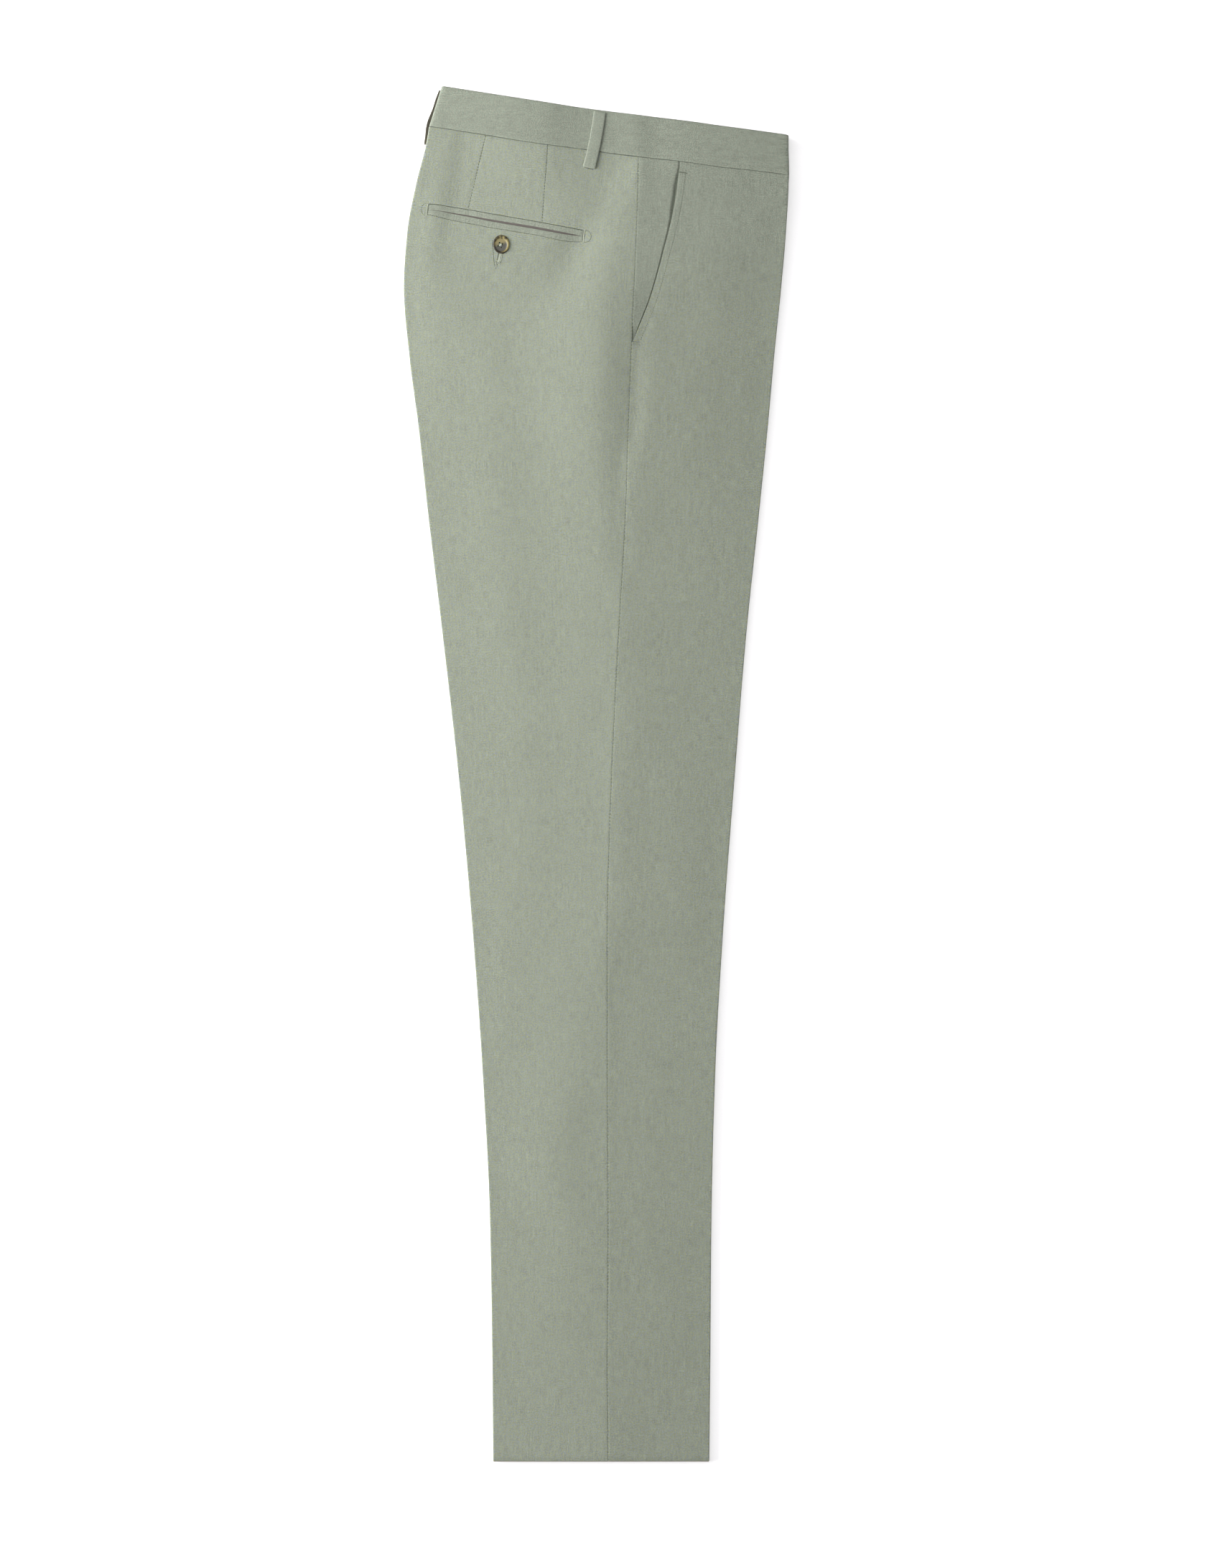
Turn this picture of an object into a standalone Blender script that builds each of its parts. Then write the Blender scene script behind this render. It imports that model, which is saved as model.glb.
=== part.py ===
"""Linen suit trousers, folded on their creases and lying flat on their left side.

The right leg is on top. +X points to the front of the trousers, +Y to the waist, +Z up.
The tables are in millimetres, measured from the side seam at the hem. One empty carries all
the pieces to the part's own frame: its origin is under the middle of the trousers, on the
surface that they lie on.

Each half has two layers of cloth: the outer one, with the side seam, and the inner one, with
the inseam or, above the crotch, the fly seam and the seat seam. Both are one wall, folded
round the front crease and the back crease. From the floor up the layers are left outer, left
inner, right inner and right outer.
"""

import math

import bmesh
import bpy
from mathutils import Vector

MM = 0.001

# ---- sizes, in millimetres ----
CLOTH = 1.0            # wall of one layer of linen
BAND_WALL = 2.0        # waistband: linen folded over its interlining
SEAM_GAP = 0.3         # between neighbouring pieces
SIDE_TOP = 1071.6      # height of the side seam, from the hem to the waistband
LEAN_FROM = 930.0      # above this the rows lean, to run along the slanted waist seam
CROTCH = 839.0
POCKET_FOOT = 920.0    # where the slant pocket's edge leaves the side seam
FACING_REACH = (6.0, 1.0, -9.0, -22.0)  # facing's columns, measured back from the slant edge
FACING_SINK = 1.3      # the facing lies this far inside the front's layer
FACING_RISE = 0.5      # and comes up by this much beside the slant edge
FACING_LEAST = 0.8     # its columns never lie closer than this
FRONT_DIP = 0.12       # fall of the folded-in waist towards the fly, for each mm across
BACK_DIP = 0.30        # the same towards the seat seam
FLY_FOOT = 905.0       # lowest row of the strip behind the fly
FLY_WIDTH = 35.0
FLY_WALL = 1.2
LOOP_WALL = 1.0
LOOP_WIDTH = 10.5
POCKET_LEFT = (-148.1, 1028.8)   # ends of the back pocket's slit
POCKET_RIGHT = (-20.7, 1007.4)
POCKET_SAG = 1.2
POCKET_WELT = 4.4      # height of one welt of the back pocket
WELT_WALL = 1.6
BUTTON_PLACE = (-87.7, 1000.6)
BUTTON_SECTION = (     # radius and height, from the dished middle round the rim to the back
    (0.0, 1.5), (4.2, 1.6), (5.3, 2.3), (6.3, 2.9), (7.0, 2.6), (7.3, 1.8), (6.6, 0.6),
    (5.2, 0.0), (0.0, 0.0))
THREAD_HOLE_RADIUS = 0.8
THREAD_HOLE_SPREAD = 1.5


class Sections:
    """A short table with named columns, read between its rows on a smooth curve.

    The first column is the station. The curve passes through every row and never swings
    past it, so a level stretch stays level.
    """

    def __init__(self, names, *rows):
        self.names = names.split()
        self.rows = rows

    def at(self, name, station):
        column = self.names.index(name)
        stations = [row[0] for row in self.rows]
        values = [row[column] for row in self.rows]
        last = len(values) - 1
        if station <= stations[0]:
            return values[0]
        if station >= stations[last]:
            return values[last]
        steps = [(values[k + 1] - values[k]) / (stations[k + 1] - stations[k]) for k in range(last)]

        def slope(k):
            if k == 0:
                return steps[0]
            if k == last:
                return steps[-1]
            before, after = steps[k - 1], steps[k]
            return 2 * before * after / (before + after) if before * after > 0 else 0.0

        k = next(k for k in range(last) if station <= stations[k + 1])
        span = stations[k + 1] - stations[k]
        t = (station - stations[k]) / span
        rise = values[k + 1] - values[k]
        bend = span * (slope(k) * (1 - t) ** 2 * t - slope(k + 1) * (1 - t) * t * t)
        return values[k] + rise * t * t * (3 - 2 * t) + bend


# Outline of the leg and the seat, and the seams on it, across at each height.
CUT = Sections(
    "height  side_seam  back_edge  front_edge  inseam",
    (0,      0.0,       -94.7,     83.2,       0.0),
    (80,     -0.6,      -95.4,     84.0,       0.0),
    (200,    0.0,       -97.4,     85.0,       0.0),
    (320,    -0.6,      -103.4,    88.1,       0.0),
    (440,    -0.6,      -111.9,    94.8,       0.5),
    (560,    2.7,       -122.8,    103.8,      2.0),
    (680,    8.6,       -136.3,    113.6,      4.0),
    (780,    14.2,      -148.3,    124.1,      5.5),
    (850,    16.5,      -156.0,    131.2,      6.0),
    (910,    18.8,      -163.7,    136.6,      6.0),
    (965,    21.2,      -168.1,    142.2,      6.0),
    (1010,   23.0,      -165.3,    146.0,      6.0),
    (1050,   24.5,      -157.8,    148.1,      6.0),
    (1083,   25.1,      -149.3,    148.4,      6.0),
    (1097,   25.1,      -146.9,    148.4,      6.0),
)

# The waistband's seam and its top edge, at each place across.
WAIST = Sections(
    "across   seam     top",
    (-146.9,  1096.9,  1131.9),
    (-110.3,  1091.2,  1125.9),
    (-57.2,   1082.4,  1117.4),
    (-27.7,   1078.8,  1113.0),
    (1.8,     1074.7,  1109.1),
    (31.3,    1071.1,  1105.4),
    (66.7,    1067.0,  1101.0),
    (90.3,    1063.5,  1097.7),
    (113.9,   1061.1,  1094.6),
    (148.1,   1057.0,  1090.0),
)
BAND_TOP_BACK = -136.5   # the band's top edge starts here, further in than its seam
BAND_BACK, BAND_FRONT = -146.9, 148.1

# Edge of the slant pocket, from the side seam up to the waistband.
SLANT = Sections(
    "height  across",
    (919.8,  19.5),
    (958.5,  34.2),
    (1000.9, 46.0),
    (1022.2, 51.3),
    (1043.4, 54.9),
    (1064.7, 57.8),
)

# Middle of each layer above the floor. Pocket facings and belt loops lie between the layers,
# so the stack is thickest at the waist, where it also lies over the left side's belt loop.
STACK = Sections(
    "row     left_outer  left_inner  right_inner  right_outer",
    (0,      0.5,        2.1,        3.9,         5.5),
    (700,    0.5,        2.1,        3.9,         5.5),
    (CROTCH, 0.5,        2.3,        4.4,         6.4),
    (920,    0.5,        3.1,        5.6,         8.6),
    (1000,   0.5,        4.2,        7.6,         11.0),
    (1030,   0.7,        4.8,        8.8,         12.4),
    (1050,   2.2,        5.1,        9.6,         13.2),
    (SIDE_TOP, 2.3,      5.1,        10.0,        13.3),
)
BAND_STACK = {"left_outer": 2.5, "left_inner": 5.1, "right_inner": 10.0, "right_outer": 13.0}

# Seams of the fly and the seat above the crotch: each leaves the inseam on a quarter of an
# ellipse and then runs nearly straight up to the waist.
RISE = {
    "front": {"turn": (50.0, 900.0), "top": 56.0},
    "back": {"turn": (-108.0, 925.0), "top": -102.0},
}

# The largest soft swells of the upper cloth: a line from one end to the other, the width to
# each side, and the height.
SWELLS = (
    # across_1  height_1  across_2  height_2  width  height
    (2.0,       1045.0,   -28.0,    950.0,    16.0,  1.6),
    (-28.0,     950.0,    -22.0,    850.0,    16.0,  1.6),
    (-70.0,     420.0,    -78.0,    250.0,    26.0,  1.2),
    (60.0,      760.0,    48.0,     520.0,    24.0,  1.0),
)

# Belt loops. Side loop: its centre line, from the band's top edge down over the waist seam.
SIDE_LOOP = ((-6.9, 1109.0), (-15.5, 1063.2))
SIDE_LOOP_BOW = 1.6
# Back loop: how far its outer face stands from the side seam at the hem, at each height.
BACK_LOOP = Sections(
    "height   across",
    (1083.0,  -150.7),
    (1089.0,  -151.3),
    (1098.5,  -151.4),
    (1108.0,  -148.6),
    (1118.0,  -143.8),
    (1127.0,  -138.8),
)
BACK_LOOP_TUCK = 4.6     # how far it reaches in under the fold
BACK_LOOP_TURN = 1.3     # radius of its bend
# Front loop: it lies between the halves and only its edge shows past the crease.
FRONT_LOOP = Sections(
    "height   across",
    (1041.8,  148.9),
    (1059.6,  149.8),
    (1077.8,  149.0),
    (1086.0,  147.6),
)

# The rows of the walls, up from the hem, close together where the shape turns.
ROWS = (0, 60, 140, 230, 320, 400, 480, 560, 640, 720, 780, 815, CROTCH, 846, 858, 876, 900,
        POCKET_FOOT, 942, 965, 985, 1008, 1030, 1050, SIDE_TOP)

# Plain colours, roughness.
FINISH = {
    "linen": ((0.36, 0.39, 0.31), 0.9),
    "horn": ((0.22, 0.19, 0.14), 0.35),
}


# ---- helpers ----
def mix(first, last, part):
    return first + (last - first) * part


def smooth(part):
    part = min(max(part, 0.0), 1.0)
    return part * part * (3 - 2 * part)


def lean(seam_height, row):
    """How far a row lies above its name's height, so that the top row meets the waist seam."""
    return (seam_height - SIDE_TOP) * smooth((row - LEAN_FROM) / (SIDE_TOP - LEAN_FROM))


def row_at(across, height):
    """The row that passes through a place on the outer layer."""
    row = height
    for _ in range(8):
        row = height - lean(WAIST.at("seam", across), row)
    return row


def swell(across, height):
    """Height of the soft swells, which fade out before the creases."""
    place = Vector((across, height))
    lift = 0.0
    for x_1, y_1, x_2, y_2, width, peak in SWELLS:
        start, run = Vector((x_1, y_1)), Vector((x_2 - x_1, y_2 - y_1))
        part = min(max((place - start).dot(run) / run.length_squared, 0.0), 1.0)
        lift = max(lift, peak * math.exp(-((place - start - run * part).length / width) ** 2))
    room = min(across - CUT.at("back_edge", height), CUT.at("front_edge", height) - across)
    return lift * smooth((room - 3.0) / 20.0)


def rise_seam(part, row):
    """The inseam, and above the crotch the fly seam or the seat seam, at a row."""
    inseam = CUT.at("inseam", row)
    if row <= CROTCH:
        return inseam
    turn_across, turn_height = RISE[part]["turn"]
    if row < turn_height:
        down = (turn_height - row) / (turn_height - CROTCH)
        return mix(inseam, turn_across, math.sqrt(1 - down * down))
    return mix(turn_across, RISE[part]["top"], (row - turn_height) / (SIDE_TOP - turn_height))


def slant_edge(row):
    """The slant pocket's edge at a row, found from the height that the row has there."""
    across = SLANT.at("across", row)
    return SLANT.at("across", row + lean(WAIST.at("seam", across), row))


def cloth_top(across, height):
    """The upper face of the trousers: the band above the waist seam, the outer layer below."""
    if height > WAIST.at("seam", across):
        return BAND_STACK["right_outer"] + BAND_WALL / 2
    row = row_at(across, height)
    return STACK.at("right_outer", row) + swell(across, height) + CLOTH / 2


# ---- making solids ----
def finish(name):
    colour, roughness = FINISH[name]
    material = bpy.data.materials.get(name)
    if material is None:
        material = bpy.data.materials.new(name)
        material.use_nodes = True
        shader = material.node_tree.nodes["Principled BSDF"]
        shader.inputs["Base Color"].default_value = (*colour, 1.0)
        shader.inputs["Roughness"].default_value = roughness
        shader.inputs["Metallic"].default_value = 0.0
    return material


def keep(name, shape, carrier, material, sharp_from=math.radians(50)):
    """Turn a bmesh in millimetres into a named object in metres, carried by the empty."""
    bmesh.ops.scale(shape, vec=(MM, MM, MM), verts=shape.verts)
    bmesh.ops.recalc_face_normals(shape, faces=shape.faces)
    mesh = bpy.data.meshes.new(name)
    shape.to_mesh(mesh)
    shape.free()
    mesh.shade_smooth()
    mesh.set_sharp_from_angle(angle=sharp_from)
    mesh.materials.append(finish(material))
    piece = bpy.data.objects.new(name, mesh)
    piece.parent = carrier
    bpy.context.scene.collection.objects.link(piece)
    return piece


def slab(columns, rows, place):
    """A closed wall from a flat grid. place(column, row, face) gives a corner, face 0 or 1."""
    shape = bmesh.new()
    bmesh.ops.create_grid(shape, x_segments=columns, y_segments=rows, size=0.5)
    wall = bmesh.ops.extrude_face_region(shape, geom=shape.faces[:])
    second_face = {corner for corner in wall["geom"] if isinstance(corner, bmesh.types.BMVert)}
    for corner in shape.verts:
        column = round((corner.co.x + 0.5) * columns)
        row = round((corner.co.y + 0.5) * rows)
        corner.co = place(column, row, 1 if corner in second_face else 0)
    return shape


def hairpin(part, half, start, edge, seam_end, stack, wall, curl, counts, gap=0.0):
    """The section of a wall that runs out to a crease, round it and back in to a seam.

    Returns its outer layer and its inner one, each a list of stations (across, z,
    normal_across, normal_z, inwards). inwards is None on the outer layer's level stretch, and
    the distance from the crease past it. gap parts the two layers at the crease's outermost
    line. curl turns the free end towards the other half, from 0, flat, to 1, on edge.
    """
    along = 1 if part == "front" else -1
    up = 1 if half == "right" else -1
    outer = up * stack[half + "_outer"]
    inner = up * stack[half + "_inner"]
    middle = (outer + inner) / 2
    radius = (outer - inner) / 2
    start, edge, seam_end = along * start, along * edge, along * seam_end
    turn = edge - radius - wall / 2
    outer_count, fold_count, inner_count, curl_count = counts

    def fold(k):
        """A station of the fold: k runs from 0 at its start to twice fold_count at its end."""
        angle = math.pi / 2 * k / fold_count
        out, rise = math.sin(angle), math.cos(angle)
        return (turn + radius * out, middle + radius * rise, out, rise,
                wall / 2 + radius * (1 - out))

    crest = fold(fold_count)
    outside = [(mix(start, turn, k / outer_count), outer, 0.0, 1.0, None)
               for k in range(outer_count + 1)]
    outside += [fold(k) for k in range(1, fold_count)]
    outside.append((crest[0], middle + gap / 2, 1.0, 0.0, crest[4]))
    inside = [(crest[0], middle - gap / 2, 1.0, 0.0, crest[4])]
    inside += [fold(k) for k in range(fold_count + 1, 2 * fold_count + 1)]

    centre = up * (stack["left_inner"] + stack["right_inner"]) / 2
    reach = (inner - centre - SEAM_GAP / 2) * math.pi / 2
    angle_end = curl * math.pi / 2
    span = reach * (math.sin(angle_end) / angle_end if curl else 1.0)
    last = seam_end + span + wall / 2 * curl
    for k in range(1, inner_count + 1):
        across = mix(turn, last, k / inner_count)
        inside.append((across, inner, 0.0, -1.0, edge - across))
    for k in range(1, curl_count + 1):
        angle = angle_end * k / curl_count
        in_by, down = reach * k / curl_count, 0.0
        if curl:
            in_by = reach / angle_end * math.sin(angle)
            down = reach / angle_end * (1 - math.cos(angle))
        inside.append((last - in_by, inner - down, math.sin(angle), -math.cos(angle),
                       edge - last + in_by))

    def placed(stations):
        return [(along * a, up * c, along * na, up * nc, inwards)
                for a, c, na, nc, inwards in stations]

    return placed(outside), placed(inside)


def wall_corner(station, height, lift, wall, face):
    """One corner of a wall: half the wall to either side of its middle."""
    across, z, normal_across, normal_z, _ = station
    side = wall / 2 if face else -wall / 2
    return Vector((across + normal_across * side, height, z + lift + normal_z * side))


# ---- the pieces ----
def leg_panel(part, half):
    """A front or a back, from the side seam round the crease to the inseam, fly or seat seam.

    It is cut in one piece and pressed on the crease. Its outer layer and the layer folded in
    are two walls that meet on the crease's outermost line, so that the space between them is
    open to whatever goes in.
    """
    counts = (12, 2, 5, 3) if part == "back" else (8, 2, 4, 3)
    away = 1 if part == "front" else -1
    edge_seam = WAIST.at("seam", BAND_FRONT if part == "front" else BAND_BACK)
    dip = FRONT_DIP if part == "front" else BACK_DIP

    def on_row(stations, row):
        placed = []
        for station in stations:
            across, inwards = station[0], station[4]
            level = inwards is None
            seam = WAIST.at("seam", across) if level else edge_seam - dip * inwards
            height = row + lean(seam, row) - (SEAM_GAP / 2 if row == SIDE_TOP else 0.0)
            raised = half == "right" and level
            placed.append((station, height, swell(across, height) if raised else 0.0))
        return placed

    walls = {"outer": [], "inner": []}
    for row in ROWS:
        if part == "front" and row > POCKET_FOOT:
            start = slant_edge(row)
        else:
            start = CUT.at("side_seam", row) + away * SEAM_GAP / 2
        edge = CUT.at(part + "_edge", row + lean(edge_seam, row))
        seam_end = rise_seam(part, row) + away * SEAM_GAP / 2
        stack = {name: STACK.at(name, row) for name in STACK.names[1:]}
        curl = 0.0 if row <= CROTCH else 1.0
        outer, inner = hairpin(part, half, start, edge, seam_end, stack, CLOTH, curl, counts, SEAM_GAP)
        walls["outer"].append(on_row(outer, row))
        walls["inner"].append(on_row(inner, row))

    def wall(name):
        sections = walls[name]

        def place(column, row, face):
            station, height, lift = sections[row][column]
            return wall_corner(station, height, lift, CLOTH, face)

        return slab(len(sections[0]) - 1, len(ROWS) - 1, place)

    return wall("outer"), wall("inner")


def waistband(half):
    """One half of the band: seat seam, round the back crease, over the outside, to the fly."""
    back_counts, front_counts = (6, 2, 2, 3), (5, 2, 3, 3)
    rows = 2

    def half_section(part, counts, top):
        """top is 0 on the waist seam and 1 on the top edge."""
        shift = (BAND_TOP_BACK - BAND_BACK) * top if part == "back" else 0.0
        edge = (BAND_BACK if part == "back" else BAND_FRONT) + shift
        dip = BACK_DIP if part == "back" else FRONT_DIP
        seam_end = RISE[part]["top"] + shift
        placed = []
        outer, inner = hairpin(part, half, 0.0, edge, seam_end, BAND_STACK, BAND_WALL, 1.0, counts)
        for station in outer + inner[1:]:
            across, inwards = station[0], station[4]
            if inwards is None:
                seam, upper = WAIST.at("seam", across), WAIST.at("top", across)
            else:
                seam = WAIST.at("seam", edge) - dip * inwards
                upper = WAIST.at("top", edge) - dip * inwards
            placed.append((station, mix(seam + SEAM_GAP / 2, upper, top)))
        return placed

    sections = []
    for k in range(rows + 1):
        back = half_section("back", back_counts, k / rows)
        front = half_section("front", front_counts, k / rows)
        sections.append(back[::-1] + front[1:])

    def place(column, row, face):
        station, height = sections[row][column]
        return wall_corner(station, height, 0.0, BAND_WALL, face)

    return slab(len(sections[0]) - 1, rows, place)


def pocket_facing(half):
    """The cloth that shows between the side seam and the slant edge, and runs on under it."""
    rows = [row for row in ROWS if row >= POCKET_FOOT]

    def place(column, row_number, face):
        row = rows[row_number]
        side, slant = CUT.at("side_seam", row) + SEAM_GAP / 2, slant_edge(row)
        across = side
        if column:
            across = max(slant - FACING_REACH[column - 1], side + column * FACING_LEAST)
        height = row + lean(WAIST.at("seam", across), row)
        if row == SIDE_TOP:
            height -= SEAM_GAP / 2
        step, edge = FACING_REACH[0], FACING_REACH[1]
        sink = FACING_SINK - FACING_RISE * smooth((slant - across - edge) / (step - edge))
        if half == "right":
            z = STACK.at("right_outer", row) + swell(across, height) - sink
        else:
            z = STACK.at("left_outer", row) + sink
        return Vector((across, height, z + (CLOTH / 2 if face else -CLOTH / 2)))

    return slab(len(FACING_REACH), len(rows) - 1, place)


def fly_strip():
    """The strip of cloth behind the fly, between the two halves."""
    rows = [FLY_FOOT] + [row for row in ROWS if row > FLY_FOOT]
    edge_seam = WAIST.at("seam", BAND_FRONT)

    def place(column, row_number, face):
        row = rows[row_number]
        across = rise_seam("front", row) - SEAM_GAP - FLY_WIDTH * (1 - column)
        inwards = CUT.at("front_edge", row) - across
        height = row + lean(edge_seam - FRONT_DIP * inwards, row)
        if row == SIDE_TOP:
            height -= SEAM_GAP
        middle = (STACK.at("left_inner", row) + STACK.at("right_inner", row)) / 2
        return Vector((across, height, middle + (FLY_WALL / 2 if face else -FLY_WALL / 2)))

    return slab(1, len(rows) - 1, place)


def welt_line(part):
    """A place on the back pocket's slit, from its left end (0) to its right end (1)."""
    place = Vector(POCKET_LEFT).lerp(Vector(POCKET_RIGHT), part)
    place.y -= POCKET_SAG * math.sin(math.pi * part)
    return place


def pocket_strip(low, high, trim, wall, columns):
    """A strip along the pocket's slit, between two distances above it."""
    across_strip = (welt_line(1) - welt_line(0)).normalized()
    square = Vector((-across_strip.y, across_strip.x))

    def place(column, row, face):
        part = column / columns
        foot = welt_line(part) + across_strip * mix(-trim, trim, part)
        spot = foot + square * (high if row else low)
        middle = cloth_top(spot.x, spot.y) - CLOTH / 2
        return Vector((spot.x, spot.y, middle + (wall / 2 if face else -wall / 2)))

    return slab(columns, 1, place)


def back_button():
    """A dished button: its half section is spun round. Also gives the height of its back."""
    shape = bmesh.new()
    corners = [shape.verts.new((radius, 0.0, height)) for radius, height in BUTTON_SECTION]
    edges = [shape.edges.new(pair) for pair in zip(corners, corners[1:])]
    bmesh.ops.spin(shape, geom=corners + edges, cent=(0, 0, 0), axis=(0, 0, 1),
                   angle=2 * math.pi, steps=24, use_merge=True)
    bmesh.ops.remove_doubles(shape, verts=shape.verts, dist=0.001)
    across, height = BUTTON_PLACE
    reach = max(radius for radius, _ in BUTTON_SECTION)
    base = SEAM_GAP + max(cloth_top(across + reach * side, height + reach * end)
                          for side in (-1, 0, 1) for end in (-1, 0, 1))
    bmesh.ops.translate(shape, vec=(across, height, base), verts=shape.verts)
    return shape, base


def round_cutter(across, height, z, radius, length):
    shape = bmesh.new()
    bmesh.ops.create_cone(shape, cap_ends=True, segments=10, radius1=radius, radius2=radius,
                          depth=length)
    bmesh.ops.translate(shape, vec=(across, height, z), verts=shape.verts)
    return shape


def cut(piece, cutter):
    """Take the cutter out of a piece. The cutter itself isn't part of the trousers."""
    cutter.hide_render = True
    cutter.display_type = "WIRE"
    taking = piece.modifiers.new(cutter.name, "BOOLEAN")
    taking.operation = "DIFFERENCE"
    taking.object = cutter


def side_loop(half):
    """A belt loop lying over the band, bowed where it is free of it."""
    top, foot = Vector(SIDE_LOOP[0]), Vector(SIDE_LOOP[1])
    run = (top - foot).normalized()
    square = Vector((run.y, -run.x))
    columns, rows = 2, 8

    def place(column, row, face):
        part = row / rows
        spot = foot.lerp(top, part) + square * LOOP_WIDTH * (column / columns - 0.5)
        if half == "right":
            bow = SIDE_LOOP_BOW * math.sin(math.pi * part) ** 0.7
            seat = BAND_STACK["right_outer"] + BAND_WALL / 2 + SEAM_GAP
            return Vector((spot.x, spot.y, seat + bow + (LOOP_WALL if face else 0.0)))
        return Vector((spot.x, spot.y, LOOP_WALL if face else 0.0))

    return slab(columns, rows, place)


def back_loop(half):
    """A belt loop on the back crease: on edge beside the fold, then tucked in under it."""
    up = 1 if half == "right" else -1
    centre = (BAND_STACK["left_inner"] + BAND_STACK["right_inner"]) / 2
    stands = abs(BAND_STACK[half + "_outer"] - centre)
    tucked = SEAM_GAP / 2 + LOOP_WALL / 2
    rows, bends = 8, 3
    # inwards, level above the middle, and the direction of the outer face
    section = [(0.0, stands, -1.0, 0.0)]
    for k in range(bends + 1):
        angle = math.pi / 2 * k / bends
        out, down = math.cos(angle), math.sin(angle)
        section.append((BACK_LOOP_TURN * (1 - out), tucked + BACK_LOOP_TURN * (1 - down), -out, -down))
    section.append((BACK_LOOP_TURN + BACK_LOOP_TUCK, tucked, 0.0, -1.0))

    def place(column, row, face):
        height = mix(BACK_LOOP.rows[0][0], BACK_LOOP.rows[-1][0], row / rows)
        inwards, level, out, rise = section[column]
        side = LOOP_WALL / 2 if face else -LOOP_WALL / 2
        across = BACK_LOOP.at("across", height) + LOOP_WALL / 2 + inwards + out * side
        return Vector((across, height, centre + up * (level + rise * side)))

    return slab(len(section) - 1, rows, place)


def front_loop(half):
    """A belt loop on the front crease, flat between the two halves."""
    up = 1 if half == "right" else -1
    centre = (BAND_STACK["left_inner"] + BAND_STACK["right_inner"]) / 2
    rows = 6

    def place(column, row, face):
        height = mix(FRONT_LOOP.rows[0][0], FRONT_LOOP.rows[-1][0], row / rows)
        across = FRONT_LOOP.at("across", height) - LOOP_WIDTH * (1 - column)
        level = SEAM_GAP / 2 + (LOOP_WALL if face else 0.0)
        return Vector((across, height, centre + up * level))

    return slab(1, rows, place)


def build():
    for old in list(bpy.data.objects):
        bpy.data.objects.remove(old, do_unlink=True)
    carrier = bpy.data.objects.new("trousers", None)
    bpy.context.scene.collection.objects.link(carrier)

    pieces = {}

    def add(name, shape, material="linen"):
        pieces[name] = keep(name, shape, carrier, material)
        return pieces[name]

    for half in ("right", "left"):
        for part in ("front", "back"):
            outer, inner = leg_panel(part, half)
            add(f"{part}_{half}", outer)
            add(f"{part}_{half}_folded_in", inner)
        add(f"pocket_facing_{half}", pocket_facing(half))
        add(f"waistband_{half}", waistband(half))
        add(f"belt_loop_side_{half}", side_loop(half))
        add(f"belt_loop_back_{half}", back_loop(half))
        add(f"belt_loop_front_{half}", front_loop(half))
    add("fly_strip", fly_strip())

    slit = SEAM_GAP / 2
    add("pocket_welt_upper", pocket_strip(slit, POCKET_WELT, 0.0, WELT_WALL, 6))
    add("pocket_welt_lower", pocket_strip(-POCKET_WELT, -slit, 0.0, WELT_WALL, 6))
    opening = POCKET_WELT + SEAM_GAP
    window = add("pocket_window", pocket_strip(-opening, opening, SEAM_GAP, 4 * CLOTH, 6))
    cut(pieces["back_right"], window)

    shape, base = back_button()
    button = add("back_pocket_button", shape, "horn")
    for number, (side, end) in enumerate(((-1, -1), (1, -1), (1, 1), (-1, 1))):
        hole = round_cutter(BUTTON_PLACE[0] + side * THREAD_HOLE_SPREAD,
                            BUTTON_PLACE[1] + end * THREAD_HOLE_SPREAD,
                            base, THREAD_HOLE_RADIUS, 10 * CLOTH)
        cut(button, add(f"thread_hole_{number + 1}", hole, "horn"))

    solids = [piece for piece in pieces.values() if not piece.hide_render]
    corners = [corner.co for piece in solids for corner in piece.data.vertices]
    low = [min(corner[axis] for corner in corners) for axis in range(3)]
    high = [max(corner[axis] for corner in corners) for axis in range(3)]
    carrier.location = (-(low[0] + high[0]) / 2, -(low[1] + high[1]) / 2, -low[2])


build()
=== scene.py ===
# %% [markdown]
# # Linen suit trousers, folded on their creases
#
# These are tailored trousers in a pale sage linen. They lie on their left side, folded flat on
# the pressed creases, so the right leg is on top with its side seam in the middle. The solids
# of the frame give each piece its place. This lesson makes the cloth that is seen: thin walls
# with soft swells, real seams, stitches of thread, a horn button, and a plain woven finish.
#
# Everything is measured in millimetres from the side seam at the hem: across to the front,
# up to the waist, and level above the floor. One step at the end of each piece turns that into
# metres in the frame.

import math

import bmesh
import bpy
import numpy as np
from mathutils import Matrix, Vector


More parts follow.
